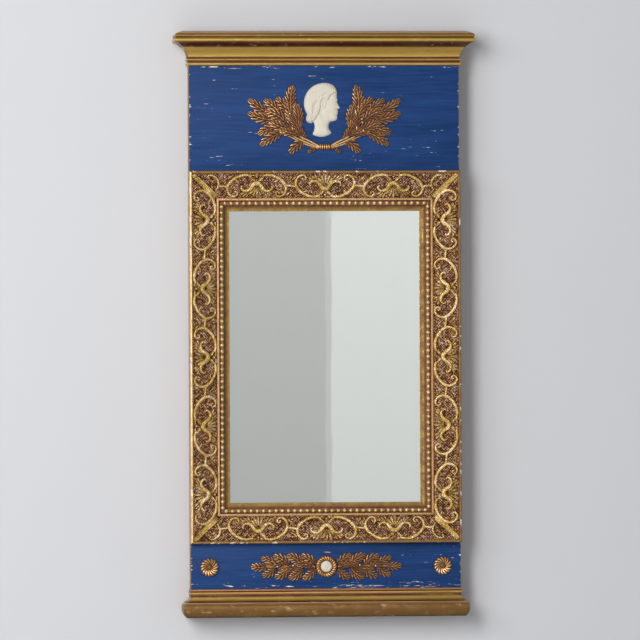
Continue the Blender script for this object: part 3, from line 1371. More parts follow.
def branch(word, sizes):
    """A cast branch, seen from the tie outwards."""
    casting = sprig(
        SIDES[word], sizes, BRANCH_STEMS, BRANCH_LEAVES, (7.1, 3, 0), wider=1.12, swell=0.08, nod=1.2
    )
    for at in BRANCH_BERRIES[word]:
        berry(casting, at, 1.7, mm(sizes.leaf_relief) + 1.2)
    casting.placed(on_frieze(TIE_Z))
    return casting.piece(f"bronzed_branch_{word}", "bronze", [f"laurel_branch_{word}"], 60)


def tie():
    """The ribbed binding between the branches."""
    angle = np.linspace(0, np.pi, 13)
    rings, marks = [], []
    for x in np.linspace(-9.5, 9.5, 77):
        rib = 0.5 + 0.5 * math.cos(2 * math.pi * x / 3.1)
        radius = np.interp(abs(x), [0, 4, 7.5, 9.5], [3.7, 3.9, 4.3, 3.0]) + 0.55 * rib
        rings.append(facing(np.column_stack([
            np.full(len(angle), x), radius * np.cos(angle), radius * np.sin(angle) * 1.02
        ])))
        marks.append(0.25 + 0.75 * rib * np.sin(angle) ** 0.3)
    casting = Casting()
    casting.loft(rings, relief=marks)
    casting.placed(on_frieze(TIE_Z))
    return casting.piece("gilt_branch_tie", "bronze", ["branch_tie"], 50)


# Root, tip, width, bend, lift and side veins of the lower spray's leaves, from its middle, right side.
SPRAY_LEAVES = [
    ((84, 0.4), (106.5, 1.0), 12.5, -1, 0.3, 5),
    ((72, 2), (92, 12.0), 11.5, 2, 0.0, 5),
    ((72, -1), (91, -12.5), 12.0, -2, 0.0, 5),
    ((54, 2), (75, 14.6), 13.5, 3, 0.3, 5),
    ((54, -2), (73, -14.6), 13.5, -3, 0.3, 5),
    ((34, 2), (56, 15.8), 14.0, 3, 0.6, 6),
    ((34, -2), (54, -15.6), 14.0, -3, 0.6, 6),
    ((16, 3), (36, 16.0), 12.5, 2, 0.2, 5),
    ((16, -3), (34, -17.2), 12.0, -2, 0.2, 5),
    ((60, 0), (86, 3.6), 9.5, 2, 1.2, 5),
    ((40, 0.4), (68, -2.6), 9.5, -2, 1.5, 6),
    ((18, 0), (46, 2.8), 10.0, 2, 1.7, 6),
]


SPRAY_STEMS = [([(16.5, 0), (50, 0.6), (90, 0)], 5.0, 2.4, 0.4)]


def spray(word, sizes):
    """One half of the lower spray, from the wreath outwards."""
    casting = sprig(SIDES[word], sizes, SPRAY_STEMS, SPRAY_LEAVES, (5.3, 9, 2))
    for at in mirrored([(47, 1.8), (69, 0.6)], SIDES[word]):
        berry(casting, at, 1.6, mm(sizes.leaf_relief) + 1.3)
    casting.placed(on_frieze(SPRAY_Z))
    return casting.piece(f"bronzed_spray_{word}", "bronze", [f"spray_{word}"], 60)


def wreath():
    """A rope-like ring of short slanting leaves round the button."""
    leaves, stations = 22, 216
    tube = np.radians([-8, 14, 34, 54, 74, 94, 114, 134, 154, 176])
    top = np.sin(np.clip(tube, 0, np.pi))
    rings, marks = [], []
    for a in np.linspace(0, 2 * np.pi, stations, endpoint=False):
        twist = np.abs(np.sin(np.pi * (a / (2 * np.pi) * leaves + tube * 0.55))) ** 0.6
        size = 3.5 + 0.6 * twist * top**0.5 + 0.25 * math.sin(5 * a + 1)
        out = 11.8 + size * np.cos(tube)
        h = np.maximum(size * 1.08 * np.sin(tube), SUNK_IN_BOARD)
        rings.append(facing(np.column_stack([out * math.cos(a), out * math.sin(a), h])))
        marks.append(np.clip(0.08 + 0.9 * twist**1.5 * top**0.7, 0, 1))
    casting = Casting()
    casting.loft(rings, loop=True, relief=marks)
    casting.placed(on_frieze(SPRAY_Z))
    return casting.piece("bronzed_wreath", "bronze", ["spray_wreath"], 60)


def button():
    """The plaster button: a low knocked-about dome on a rounded foot."""
    angle = np.linspace(0, 2 * np.pi, 48, endpoint=False)
    rows = [(7.2, SUNK_IN_BOARD), (7.9, 0.6), (8.0, 2.0), (7.6, 3.1), (6.6, 3.8), (5.2, 4.2), (3.6, 4.5),
            (1.8, 4.66), (0.3, 4.7)]
    rings = []
    for r, h in rows:
        dent = np.array([stray((r * math.cos(a), h, r * math.sin(a)), 3.6, 8) for a in angle])
        wide = r * (1 + 0.05 * dent * (h > 0))
        high = h + np.minimum(0, dent) * 0.9 * (h > 1)
        rings.append(facing(np.column_stack([wide * np.cos(angle), wide * np.sin(angle), high])))
    casting = Casting()
    casting.loft(rings, relief=np.repeat([0, 0.2, 0.5, 0.8, 1, 1, 0.9, 1, 1], len(angle)))
    casting.placed(on_frieze(SPRAY_Z))
    return casting.piece("plaster_button", "plaster", ["spray_button"], 60)


def rosette_petal(count):
    """One swirled petal of a rosette, lying in the x-y plane with its relief up z."""
    across = np.array([-1, -1, -0.7, -0.35, 0, 0.35, 0.7, 1, 1])
    rise = 0.72 + 0.28 * np.array([0, 0, 0.5, 0.9, 1, 0.95, 0.75, 0.3, 0])
    rings = []
    for share in np.linspace(0, 1, 11):
        r = 3.6 + 9.0 * share
        half = math.pi / count * r * 1.12 * (1 if share < 0.8 else 1 - 0.5 * ((share - 0.8) / 0.2) ** 2)
        h = np.interp(share, [0, 0.3, 0.75, 1], [1.6, 2.8, 4.0, 2.6]) * rise + across * 0.55
        h[0] = h[-1] = 0.0
        angle = 0.5 * share + across * half / r
        rings.append(np.column_stack([r * np.cos(angle), r * np.sin(angle), h]))
    casting = Casting()
    casting.loft(rings, relief=[[0.05, 0.1, 0.4, 0.75, 1, 0.85, 0.6, 0.25, 0.05]] * len(rings))
    return casting


def rosette(word, sizes):
    """Swirled petals round a dished middle with a knob, on a thin disc."""
    count, sides = sizes.rosette_petals, 40
    host = Casting()
    for rows, marks in (
        ([(11.9, 0), (11.9, 1.0), (8, 1.4), (3, 1.5), (0.4, 1.5)], [0.05] * 5),
        ([(4.0, 0.6), (4.2, 2.0), (3.5, 3.6), (2.4, 4.3), (1.0, 4.55), (0.2, 4.6)],
         [0.05, 0.3, 0.6, 0.55, 0.5, 0.5]),
    ):
        host.loft(turned(rows, sides), relief=np.repeat(marks, sides))
    made = repeated(
        f"rosette_{word}", host.mesh("rosette_disc", 40), rosette_petal(count).mesh("petal", 60),
        TREES["ring"], Finish=material("bronze"), Count=count, Chance=0.03, Seed=5,
    )
    centre = SIDES[word] * ROSETTE_X, ORNAMENT_FACE, SPRAY_Z
    moved_vertices(made, lambda p: facing(p) + centre)
    tidy(made, 60)
    return dressed(f"bronzed_rosette_{word}", made, "bronze", [f"rosette_{word}"])


# ---------------------------------------------------------------- profile head

# Its own outline, on a scale where the chin is at 0 and the crown at 75, looking right.
HEAD_OUTLINE = [
    (11.0, -3.2), (8.6, -8.5), (9.2, -16.5), (13.6, -24.5), (4, -30.6), (-9, -32.0), (-22.6, -27.6),
    (-20.4, -19.5), (-19.2, -10.5), (-21.6, -3.4), (-26.4, -5.2), (-32.6, -3.6), (-36.4, 1.6),
    (-35.8, 8.0), (-34.2, 12.4), (-38.2, 20.5), (-40.6, 33), (-38.8, 46.5), (-32.4, 59.2), (-21.6, 69.2),
    (-8, 74.4), (5, 75.0), (16, 71.4), (22.8, 64.6), (25.6, 58.2), (25.4, 51.2), (25.8, 45.2),
    (26.6, 41.0), (25.6, 37.4), (28.0, 31.8), (31.2, 26.4), (30.6, 23.9), (27.0, 22.5), (26.6, 20.5),
    (28.3, 17.8), (26.9, 15.7), (27.7, 13.6), (25.6, 11.0), (26.4, 6.8), (24.8, 2.0), (19.4, -0.7),
    (14.2, -1.8),
]


def inside(points, outline):
    """Which points lie inside a closed outline."""
    hits = np.zeros(len(points), bool)
    x, y = points[:, 0], points[:, 1]
    for (x0, y0), (x1, y1) in zip(outline, np.roll(outline, -1, axis=0)):
        crosses = (y0 > y) != (y1 > y)
        if crosses.any():
            hits ^= crosses & (x < (x1 - x0) * (y - y0) / (y1 - y0 + 1e-12) + x0)
    return hits


def nearest(points, run, closed=True):
    """For each point, the closest point of a run and how far off it is."""
    best = np.full(len(points), 1e9)
    where = points.copy()
    for a, b in zip(run if closed else run[:-1], np.roll(run, -1, axis=0)):
        chord = b - a
        t = np.clip(((points - a) @ chord) / (chord @ chord + 1e-12), 0, 1)
        at = a + t[:, None] * chord
        gap = np.linalg.norm(points - at, axis=1)
        closer = gap < best
        best[closer] = gap[closer]
        where[closer] = at[closer]
    return where, best


def depth_in(points, outline):
    """How far points lie inside an outline. It is negative outside."""
    _, gap = nearest(points, outline)
    return np.where(inside(points, outline), gap, -gap)


def modelled_sheet(casting, outline, height, spacing):
    """A relief over the inside of an outline, with a straight edge down to its flat back. height takes
    points and how far each lies from the outline, and gives heights and relief marks."""
    low, high = outline.min(axis=0) - spacing, outline.max(axis=0) + spacing
    xs, zs = (np.arange(low[k], high[k] + spacing, spacing) for k in (0, 1))
    grid = np.stack(np.meshgrid(xs, zs, indexing="ij"), axis=-1)
    centres = (grid[:-1, :-1] + grid[1:, 1:]) / 2
    cells = inside(centres.reshape(-1, 2), outline).reshape(centres.shape[:2])
    around = np.zeros(grid.shape[:2], int)
    for dx in (0, 1):
        for dz in (0, 1):
            around[dx:dx + cells.shape[0], dz:dz + cells.shape[1]] += cells
    used = around > 0
    number = np.full(grid.shape[:2], -1)
    number[used] = np.arange(used.sum())
    flat = grid[used]
    edge = around[used] < 4
    snapped, gap = nearest(flat, outline)
    flat[edge] = snapped[edge]
    gap[edge] = 0
    level, mark = height(flat, gap)
    top = np.column_stack([flat[:, 0], -level, flat[:, 1]])
    faces, borders = [], {}
    shift = len(flat)
    number = number.tolist()
    for i, j in np.argwhere(cells).tolist():
        quad = [number[i][j], number[i + 1][j], number[i + 1][j + 1], number[i][j + 1]]
        faces += [quad, [point + shift for point in reversed(quad)]]
        for a, b in zip(quad, quad[1:] + quad[:1]):
            if not borders.pop((b, a), False):
                borders[a, b] = True
    faces += [[b, a, a + shift, b + shift] for a, b in borders]
    casting.add(np.vstack([top, top * (1, 0, 1)]), faces, relief=np.concatenate([mark, np.zeros(shift)]))


def bump_at(points, centre, radii, turn=0.0):
    """A soft round bump of height 1."""
    offset = points - np.array(centre)
    c, s = math.cos(turn), math.sin(turn)
    a = (offset[:, 0] * c + offset[:, 1] * s) / radii[0]
    b = (-offset[:, 0] * s + offset[:, 1] * c) / radii[1]
    return np.exp(-(a * a + b * b))


def line_at(points, route, width):
    """A soft ridge of height 1 along a route."""
    _, gap = nearest(points, along(route, 0.8), closed=False)
    return np.exp(-((gap / width) ** 2))


def tuft(points, route, width, strands=3):
    """A lock of hair along a route: a rounded ridge that tapers to its end, parted into strands."""
    run = along(route, 2.2)
    best = np.full(len(points), 1e9)
    side, place = np.zeros((2, len(points)))
    for k, (a, b) in enumerate(zip(run, run[1:])):
        chord = b - a
        t = np.clip(((points - a) @ chord) / (chord @ chord), 0, 1)
        gap = points - a - t[:, None] * chord
        far = np.linalg.norm(gap, axis=1)
        closer = far < best
        best[closer] = far[closer]
        side[closer] = np.sign(gap[:, 0] * chord[1] - gap[:, 1] * chord[0])[closer]
        place[closer] = ((k + t) / (len(run) - 1))[closer]
    half = width / 2 * np.interp(place, [0, 0.2, 0.6, 1], [0.6, 1, 1, 0.4])
    across = np.clip(side * best / half, -1, 1)
    return np.sqrt(1 - across**2) * (0.84 + 0.16 * np.cos(across * strands * np.pi))


def rises(value, low, high):
    """Goes smoothly from 0 at low to 1 at high."""
    t = np.clip((value - low) / (high - low), 0, 1)
    return t * t * (3 - 2 * t)


HAIRLINE = [(27, 57.5), (20, 55.5), (13, 50.5), (8.5, 43.5), (5.4, 37.5), (3.4, 42.5), (-3.5, 43.5),
            (-8.2, 36), (-7.4, 26.5), (-10.5, 17), (-15.5, 8.5), (-19.5, 1.5), (-22, -4)]


NAPE_LOCKS = [
    [(24, 59), (14, 56), (4, 50), (-6, 44), (-14, 30), (-20, 14), (-26, 7)],
    [(10, 46), (-2, 46), (-12, 34), (-16, 16), (-25, 5)],
    [(6, 42), (-6, 41), (-11, 28), (-15, 10), (-24, 2)],
]
FOREHEAD_CURLS = [  # foot and turn
    ((23.2, 57.6), 0.4), ((18.8, 56), 0.2), ((14.8, 53), -0.1), ((11.4, 49), -0.4), ((8.4, 44.6), -0.6),
]
JAW = [(14, -2.2), (6.5, 1.2), (0.5, 7.5), (-1.4, 15.5), (-1.6, 22)]
MOUTH = [(28, 15.8), (25.4, 15.9), (22.2, 15.2)]
FACE_BUMPS = [  # height, centre, radii and turn, from cheek and chin over eye, nose and lips to the ear
    (0.55, (13.5, 17), (9, 9.5), 0.0), (0.35, (17, 28), (7, 4.5), 0.3), (0.4, (21, 6), (5, 4.5), 0.0),
    (-0.75, (20.6, 37.0), (4.3, 3.2), 0.0), (0.62, (20.9, 36.4), (2.5, 1.9), 0.0),
    (0.55, (26.9, 25.3), (2.1, 1.7), 0.0), (-0.45, (27.6, 23.6), (1.1, 0.6), 0.0),
    (0.34, (25.6, 17.6), (3, 1.3), -0.25), (0.38, (25.4, 13.8), (2.7, 1.3), 0.15),
    (-0.3, (25.2, 11.0), (2.6, 1.1), 0.0), (-0.6, (0.2, 32.4), (1.5, 2.2), 0.0),
]
FACE_LINES = [  # height, width and route: nape, eyelids, brow, nose, mouth and cheek, then the ear
    (-0.7, 1.1, [(-22, 9.5), (-24.5, 4.5), (-22.6, -2.5)]),
    (0.42, 0.62, [(16.6, 36.4), (18.6, 38.3), (21.4, 38.8), (23.8, 37.6)]),
    (0.26, 0.55, [(17.2, 35.8), (19.6, 34.4), (23.0, 34.6)]),
    (-0.22, 0.6, [(16.4, 38.6), (19.4, 40.2), (23.4, 39.6)]),
    (0.42, 1.5, [(14.6, 41.6), (18.6, 43.6), (23, 43.4), (26, 41.6)]),
    (0.5, 1.8, [(25.6, 38), (27.2, 32.6), (29.4, 27)]),
    (-0.4, 0.7, [(24.4, 27.4), (24.2, 24.8), (25.6, 23.2)]),
    (-0.42, 0.55, MOUTH),
    (-0.22, 1.3, [(22.6, 23.4), (20.6, 19), (21, 15)]),
    (1.15, 1.15, [(-3.4, 27.0), (-5.4, 31.5), (-4.8, 37.2), (-1.2, 39.8), (2.2, 37.6), (2.0, 34.0)]),
    (0.95, 1.25, [(1.4, 31.6), (0.4, 28.6), (-1.8, 26.0)]),
    (0.5, 0.8, [(-2.6, 35.6), (-2.4, 31.4), (-0.8, 29.2)]),
]


def hair_locks(points):
    """Hair combed back over the crown to the nape, with a row of small curls at the forehead."""
    comb = np.zeros(len(points))
    crown = []
    for k, share in enumerate(np.linspace(0, 1, 12)):
        turn = np.radians(np.linspace(32 + 140 * share, 232, 8))
        r = 0.98 - 0.74 * (1 - share) * np.sin(np.linspace(0, math.pi, 8)) + 0.02 * (k % 2)
        crown.append(np.column_stack([-6 + 32 * r * np.cos(turn), 40 + 33 * r * np.sin(turn)]))
    for route in crown + NAPE_LOCKS:
        comb = np.maximum(comb, tuft(points, route, 7.4))
    for foot, turn in FOREHEAD_CURLS:
        route = arc((foot[0], foot[1] + 2.6), 3.4, turn + 2.6, turn - 1.6, 6)
        comb = np.maximum(comb, 1.15 * tuft(points, route, 3.2, 1))
    return comb


def head_relief(points, gap):
    """Heights of the head on its own scale: a rounded body, then hair, neck, face and ear."""
    x, z = points.T
    hair_edge = np.array(HAIRLINE + [(-30, -16), (-60, -20), (-60, 90), (40, 90), (40, 58)], float)
    hair = rises(depth_in(points, hair_edge), -0.4, 1.6)
    comb = hair_locks(points)
    knot = bump_at(points, (-29.2, 2.8), (7.2, 7.0))
    twist = np.abs(np.sin(0.75 * (x + 29) + 0.9 * (z - 3) + 0.5 * np.sin(0.6 * (x - z))))
    level = 4.1 * (1 - np.exp(-gap / 3.2)) + 0.9 + 0.85 * hair
    level += 1.7 * comb * hair * rises(gap, 0.2, 2.0) * (1 - rises(knot, 0.3, 0.7))
    level += rises(knot, 0.3, 0.8) * (0.7 + 0.5 * twist**0.7)
    below_jaw = np.array([*along(JAW, 0.8), (-40, 22), (-40, -50), (40, -50), (40, -2)], float)
    neck = depth_in(points, below_jaw) * (1 - hair)
    level -= rises(neck, -1.2, 2.2) * (1 - hair)
    level += 0.45 * line_at(points, [(-12, 12), (-4, -6), (5, -22)], 3.2) * rises(neck, 0, 3)
    for height, centre, radii, turn in FACE_BUMPS:
        level += height * bump_at(points, centre, radii, turn)
    for height, width, route in FACE_LINES:
        level += height * line_at(points, route, width)
    lock = np.clip(comb, 0, 1)
    valley = np.clip(0.5 + 0.55 * lock * hair + 0.5 * (1 - hair), 0, 1)
    mark = np.minimum(0.9, np.where(hair > 0.5, 0.35 + 0.6 * valley * lock, 0.95))
    mark -= 0.45 * line_at(points, MOUTH, 0.7)
    mark -= 0.25 * bump_at(points, (20.6, 37.4), (3.6, 2.2)) + 0.3 * bump_at(points, (0.2, 32.4), (2, 3))
    return level, np.clip(mark, 0, 1)


def head():
    """The plaster head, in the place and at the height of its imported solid."""
    low, high = HEAD_BOX
    outline = along(HEAD_OUTLINE, 0.9, closed=True)
    scale = (high[2] - low[2]) / (outline[:, 1].max() - outline[:, 1].min())
    thick = (high[1] - low[1]) / 6.6
    casting = Casting()
    modelled_sheet(casting, outline, head_relief, 0.42)
    casting.placed(lambda p: p * (scale, thick, scale) + (
        (low[0] + high[0]) / 2 - scale * (outline[:, 0].max() + outline[:, 0].min()) / 2,
        ORNAMENT_FACE,
        low[2] - scale * outline[:, 1].min(),
    ))
    return casting.piece("plaster_head", "plaster", ["profile_head"], 50)


# ---------------------------------------------------------------- wood, glass and hanger


def softened(node, key, radius, name):
    """A packed wooden piece with its arrises broken."""
    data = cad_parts[node].data.copy()
    mesh = bmesh.new()
    mesh.from_mesh(data)
    bmesh.ops.remove_doubles(mesh, verts=mesh.verts, dist=1e-6)
    bmesh.ops.dissolve_limit(mesh, angle_limit=math.radians(2), verts=mesh.verts, edges=mesh.edges)
    steep = math.radians(60)
    arrises = [e for e in mesh.edges if len(e.link_faces) == 2 and e.calc_face_angle(0) > steep]
    bmesh.ops.bevel(
        mesh, geom=arrises, offset=metres(radius), segments=2, profile=0.5, affect="EDGES",
        clamp_overlap=True,
    )
    mesh.to_mesh(data)
    mesh.free()
    for mark in MARKS:
        if mark not in data.attributes:
            data.attributes.new(mark, "FLOAT", "POINT")
    data.shade_smooth()
    data.set_sharp_from_angle(angle=math.radians(32))
    return dressed(name, data, key, [node])


def recoated(node, key):
    """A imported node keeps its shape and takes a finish."""
    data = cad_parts[node].data
    data.materials.clear()
    data.materials.append(material(key))


def ring_wire():
    """The hanger's D-shaped ring of round wire."""
    low, high = corner("hanger_ring", 0), corner("hanger_ring", 1)
    axis_y = (low[1] + high[1]) / 2
    radius = (high[1] - low[1]) / 2 * 0.98
    axis_z = high[2] - radius
    half = (high[0] - low[0]) / 2 - radius
    drop = axis_z - low[2] - radius
    bend = 3  # how far the ring's upper corners are rounded
    points = [(0, 0), (half - bend, 0), (half - 0.9, -0.9), (half, -bend), (half * 0.97, -drop * 0.52),
              (half * 0.72, -drop * 0.82), (half * 0.35, -drop * 0.965), (0, -drop)]
    points += mirrored(points[-2:0:-1], -1)
    run = along(points, 0.8, closed=True)
    normal = sideways(np.vstack([run[-1], run, run[0]]))[1:-1]
    angle = np.linspace(0, 2 * np.pi, 16, endpoint=False)
    rings = [
        np.column_stack([
            at[0] + side[0] * radius * np.cos(angle),
            axis_y + radius * np.sin(angle),
            axis_z + at[1] + side[1] * radius * np.cos(angle),
        ])
        for at, side in zip(run, normal)
    ]
    casting = Casting()
    casting.loft(rings, loop=True, relief=1.0)
    return casting.piece("brass_ring", "brass", ["hanger_ring"], 60, body="ring")


# ---------------------------------------------------------------- stage


def emitter(name, low, high):
    """A card that glows, more strongly towards the top, and is seen only in reflections."""
    made = bpy.data.materials.new(name)
    made.use_nodes = True
    made.node_tree.nodes.clear()
    graph = Graph(made.node_tree)
    place = graph.node("ShaderNodeTexCoord").outputs["Object"]
    split = graph.node("ShaderNodeSeparateXYZ", inputs={0: place})
    rise = Value(graph, split.outputs[2]).step(-1.0, 1.1)
    shade = graph.blend(rise, (low, low * 1.02, low, 1), (high, high * 1.02, high * 1.01, 1))
    glow = graph.node("ShaderNodeEmission", inputs={"Color": shade, "Strength": 1.0})
    graph.node("ShaderNodeOutputMaterial", inputs={"Surface": glow.outputs[0]})
    return made


def staged(name, points, faces, coat):
    """A flat thing that belongs to the stage."""
    data = bpy.data.meshes.new(name)
    data.from_pydata(points, [], faces)
    data.materials.append(coat)
    made = linked(name, data)
    return made


def wall_coat(tint):
    """Plain matt paint that is clear from behind, so that the mirror's back can be seen."""
    finish = Finish("wall_paint")
    uneven = finish.cloud(300, 2).step(0.3, 0.8) * 0.04
    finish.paint(finish.blend(uneven, tint, (0.5, 0.5, 0.5, 1)), 0.9)
    clear = finish.node("ShaderNodeBsdfTransparent")
    behind = finish.node("ShaderNodeNewGeometry").outputs["Backfacing"]
    mixed = finish.node(
        "ShaderNodeMixShader", inputs={0: behind, 1: finish.surface.outputs[0], 2: clear.outputs[0]}
    )
    output = next(n for n in finish.tree.nodes if n.type == "OUTPUT_MATERIAL")
    finish.feed(output.inputs["Surface"], mixed.outputs[0])
    return finish.material


FAR, FLOOR_LEVEL, WALL_GAP = 4.0, -0.95, 0.0006  # metres


def wall_with_opening(tint):
    """A wall just behind the mirror. It is open where the carcass hides it, which lights the back."""
    side, low, high = metres(BODY_HALF - 8), metres(BASE_FOOT + 12), metres(CORNICE_TOP - 14)
    rows = [(-FAR, FLOOR_LEVEL), (FAR, FLOOR_LEVEL), (FAR, FAR), (-FAR, FAR)]
    rows += [(-side, low), (side, low), (side, high), (-side, high)]
    faces = [(k, (k + 1) % 4, 4 + (k + 1) % 4, 4 + k) for k in range(4)]
    staged("wall", [(x, WALL_GAP, z) for x, z in rows], faces, wall_coat(tint))


def floor(tint):
    """A floor in the wall's paint."""
    rows = [(-FAR, -6), (FAR, -6), (FAR, 3), (-FAR, 3)]
    staged("floor", [(x, y, FLOOR_LEVEL) for x, y in rows], [(0, 1, 2, 3)], wall_coat(tint))


def lamp(name, at, size, power):
    """A white rectangular lamp that points at the middle of the mirror."""
    data = bpy.data.lights.new(name, "AREA")
    data.shape = "RECTANGLE"
    data.size, data.size_y = size
    data.energy = power
    made = linked(name, data)
    made.location = at
    made.rotation_euler = (-Vector(at)).to_track_quat("-Z", "Y").to_euler()


def sky():
    """An even grey sky that the camera and reflections see as pale."""
    world = bpy.data.worlds.new("studio")
    bpy.context.scene.world = world
    world.use_nodes = True
    world.node_tree.nodes.clear()
    graph = Graph(world.node_tree)
    path = graph.node("ShaderNodeLightPath").outputs
    seen = Value(graph, path["Is Camera Ray"]).higher(path["Is Transmission Ray"])
    light = graph.node("ShaderNodeBackground", inputs={"Color": (0.93, 0.96, 1.0, 1), "Strength": 0.27})
    shown = graph.node("ShaderNodeBackground", inputs={"Color": (0.8, 0.8, 0.81, 1), "Strength": 1.0})
    mixed = graph.node("ShaderNodeMixShader", inputs={0: seen, 1: light.outputs[0], 2: shown.outputs[0]})
    graph.node("ShaderNodeOutputWorld", inputs={"Surface": mixed.outputs[0]})


def camera(stage):
    """A camera straight at the middle of the photograph's view."""
    aim = Vector((-0.00365, 0, 0.0515))
    away = Vector((math.sin(stage.azimuth), -math.cos(stage.azimuth), 0)) * stage.distance
    data = bpy.data.cameras.new("camera")
    data.sensor_width = 36
    data.lens = 36 * stage.distance / stage.view
    data.clip_end = 60
    made = linked("camera", data)
    towards = (-away).to_track_quat("-Z", "Y").to_matrix().to_4x4()
    made.matrix_world = Matrix.Translation(aim + away) @ towards @ Matrix.Rotation(-stage.roll, 4, "Z")
    bpy.context.scene.camera = made


def reflector_cards():
    """Cards in front of the mirror, seen only in reflections: a darker and a paler part of a room, each
    brighter towards its top, and what shows in the gap between them."""
    for name, left, right, y, low, high in (
        ("card_dark", -0.6, 0.352, -4.0, 0.4, 0.6),
        ("card_pale", 0.364, 1.4, -4.0, 0.58, 0.87),
        ("card_seam", 0.34, 0.37, -4.01, 0.5, 0.62),
    ):
        rows = [(left, -1.4), (right, -1.4), (right, 1.6), (left, 1.6)]
        card = staged(name, [(x, y, z) for x, z in rows], [(0, 1, 2, 3)], emitter(name, low, high))
        card.visible_camera = card.visible_diffuse = card.visible_shadow = False


# ---------------------------------------------------------------- operators and panel


class MIRROR_OT_stage(bpy.types.Operator):
    """Wall, floor, lamps, reflector cards and camera"""

    bl_idname = "mirror.stage"
    bl_label = "Stage"

    def execute(self, context):
        stage = context.scene.mirror_stage
        context.scene.view_settings.view_transform = "Standard"
        wall_with_opening(stage.wall)
        floor(stage.wall)
        sky()
        reflector_cards()
        lamp("key", (-2.75, -2.95, 1.15), (1.8, 1.6), 38)
        lamp("gleam", (-1.3, -2.9, 0.75), (0.8, 2.0), 58)
        lamp("fill", (2.6, -3.6, 0.2), (2.4, 2.4), 8)
        camera(stage)
        return {"FINISHED"}


class MIRROR_OT_cornice(bpy.types.Operator):
    """Gilt cornice: front length and two returns"""

    bl_idname = "mirror.cornice"
    bl_label = "Cornice"

    def execute(self, context):
        run_moulding("cornice", cornice_section(), CORNICE_FOOT, "cornice", 2.0)
        return {"FINISHED"}


class MIRROR_OT_base(bpy.types.Operator):
    """Worn gilt base moulding: front length and two returns"""

    bl_idname = "mirror.base"
    bl_label = "Base"

    def execute(self, context):
        run_moulding("base", base_section(), BASE_FOOT, "base", 6.0)
        return {"FINISHED"}


class MIRROR_OT_friezes(bpy.types.Operator):
    """Blue painted frieze boards"""

    bl_idname = "mirror.friezes"
    bl_label = "Friezes"

    def execute(self, context):
        for word in ("upper", "lower"):
            softened(f"frieze_board_{word}", "frieze", 0.5, f"painted_frieze_{word}")
        return {"FINISHED"}


class MIRROR_OT_frame(bpy.types.Operator):
    """Four mitred lengths of frame moulding"""

    bl_idname = "mirror.frame"
    bl_label = "Frame mouldings"

    def execute(self, context):
        for side in MEMBERS:
            member(side, context.scene.mirror_mouldings)
        return {"FINISHED"}


class MIRROR_OT_strapwork(bpy.types.Operator):
    """Strapwork strips and the leaves over the mitres"""

    bl_idname = "mirror.strapwork"
    bl_label = "Strapwork"

    def execute(self, context):
        scene = context.scene
        for side in MEMBERS:
            strip(side, scene.mirror_ornament, scene.mirror_mouldings)
        for vertical in ("top", "bottom"):
            for horizontal in SIDES:
                corner_leaf(vertical, horizontal, scene.mirror_mouldings)
        return {"FINISHED"}


class MIRROR_OT_pearls(bpy.types.Operator):
    """Strings of pearls and reels round the glass"""

    bl_idname = "mirror.pearls"
    bl_label = "Pearls"

    def execute(self, context):
        for side in MEMBERS:
            pearl_run(side, context.scene.mirror_ornament, context.scene.mirror_mouldings)
        return {"FINISHED"}


class MIRROR_OT_branches(bpy.types.Operator):
    """Pair of cast branches and their binding"""

    bl_idname = "mirror.branches"
    bl_label = "Branches"

    def execute(self, context):
        for word in SIDES:
            branch(word, context.scene.mirror_ornament)
        tie()
        return {"FINISHED"}


class MIRROR_OT_head(bpy.types.Operator):
    """Plaster head in profile"""

    bl_idname = "mirror.head"
    bl_label = "Profile head"

    def execute(self, context):
        head()
        return {"FINISHED"}


class MIRROR_OT_spray(bpy.types.Operator):
    """Lower spray with its wreath and button, and the two rosettes"""

    bl_idname = "mirror.spray"
    bl_label = "Spray and rosettes"

    def execute(self, context):
        for word in SIDES:
            spray(word, context.scene.mirror_ornament)
            rosette(word, context.scene.mirror_ornament)
        wreath()
        button()
        return {"FINISHED"}


class MIRROR_OT_glass(bpy.types.Operator):
    """Silvered glass and its backing"""

    bl_idname = "mirror.glass"
    bl_label = "Glass"

    def execute(self, context):
        recoated("mirror_glass", "glass")
        recoated("glass_backing_panel", "board")
        return {"FINISHED"}


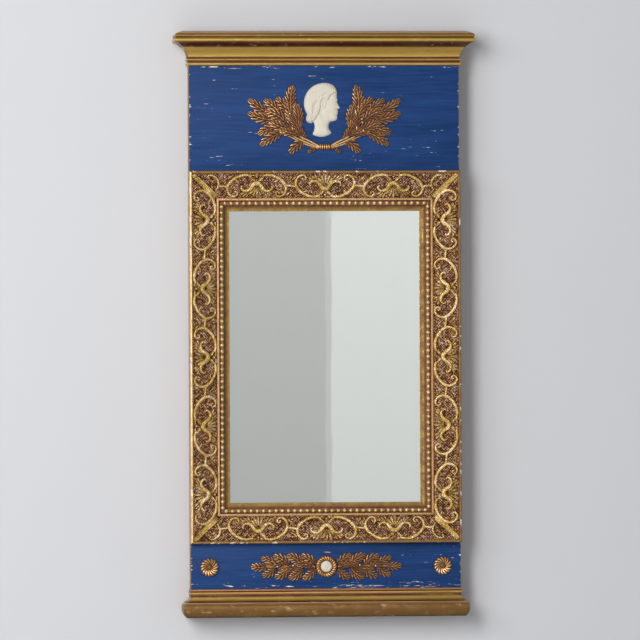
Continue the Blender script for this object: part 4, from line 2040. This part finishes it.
class MIRROR_OT_carcass(bpy.types.Operator):
    """Pine stiles, rails and battens, and the backboard with its nails"""

    bl_idname = "mirror.carcass"
    bl_label = "Carcass and back"

    def execute(self, context):
        for word in SIDES:
            softened(f"stile_{word}", "pine_upright", 0.5, f"pine_stile_{word}")
            softened(f"glass_batten_{word}", "pine_upright", 0.5, f"pine_batten_{word}")
        for word in ("top", "above_glass", "below_glass", "bottom"):
            softened(f"rail_{word}", "pine_across", 0.5, f"pine_rail_{word}")
        for word in ("top", "bottom"):
            softened(f"glass_batten_{word}", "pine_across", 0.5, f"pine_batten_{word}")
        softened("backboard", "board", 0.4, "old_backboard")
        for number in range(1, 9):
            recoated(f"backboard_nail_{number}", "iron")
        return {"FINISHED"}


class MIRROR_OT_hanger(bpy.types.Operator):
    """Brass strap hanger with its swinging ring and two screws"""

    bl_idname = "mirror.hanger"
    bl_label = "Hanger"

    def execute(self, context):
        ring_wire()
        for node in ("hanger_strap", "hanger_screw_1", "hanger_screw_2"):
            recoated(node, "brass")
        return {"FINISHED"}


OPERATORS = (
    MIRROR_OT_stage, MIRROR_OT_cornice, MIRROR_OT_base, MIRROR_OT_friezes, MIRROR_OT_frame,
    MIRROR_OT_strapwork, MIRROR_OT_pearls, MIRROR_OT_branches, MIRROR_OT_head, MIRROR_OT_spray,
    MIRROR_OT_glass, MIRROR_OT_carcass, MIRROR_OT_hanger,
)


class MIRROR_PT_pieces(bpy.types.Panel):
    bl_label = "Trumeau mirror"
    bl_idname = "MIRROR_PT_pieces"
    bl_space_type = "VIEW_3D"
    bl_region_type = "UI"
    bl_category = "Mirror"

    def draw(self, context):
        for operator in OPERATORS:
            self.layout.operator(operator.bl_idname)
        for group in SETTINGS:
            box = self.layout.box()
            for name in SETTINGS[group].__annotations__:
                box.prop(getattr(context.scene, group), name)


SETTINGS = {
    "mirror_mouldings": MouldingSizes,
    "mirror_ornament": OrnamentSizes,
    "mirror_colours": FinishColours,
    "mirror_stage": StageSettings,
}
CLASSES = (*SETTINGS.values(), *OPERATORS, MIRROR_PT_pieces)
TREES = {}


def register():
    for each in CLASSES:
        bpy.utils.register_class(each)
    for name, group in SETTINGS.items():
        setattr(bpy.types.Scene, name, bpy.props.PointerProperty(type=group))


def unregister():
    for name in SETTINGS:
        delattr(bpy.types.Scene, name)
    for each in reversed(CLASSES):
        bpy.utils.unregister_class(each)


def main():
    register()
    TREES["row"], TREES["ring"] = row_tree(), ring_tree()
    for operator in OPERATORS:
        getattr(bpy.ops.mirror, operator.bl_idname.split(".")[1])()


if __name__ == "__main__":
    main()
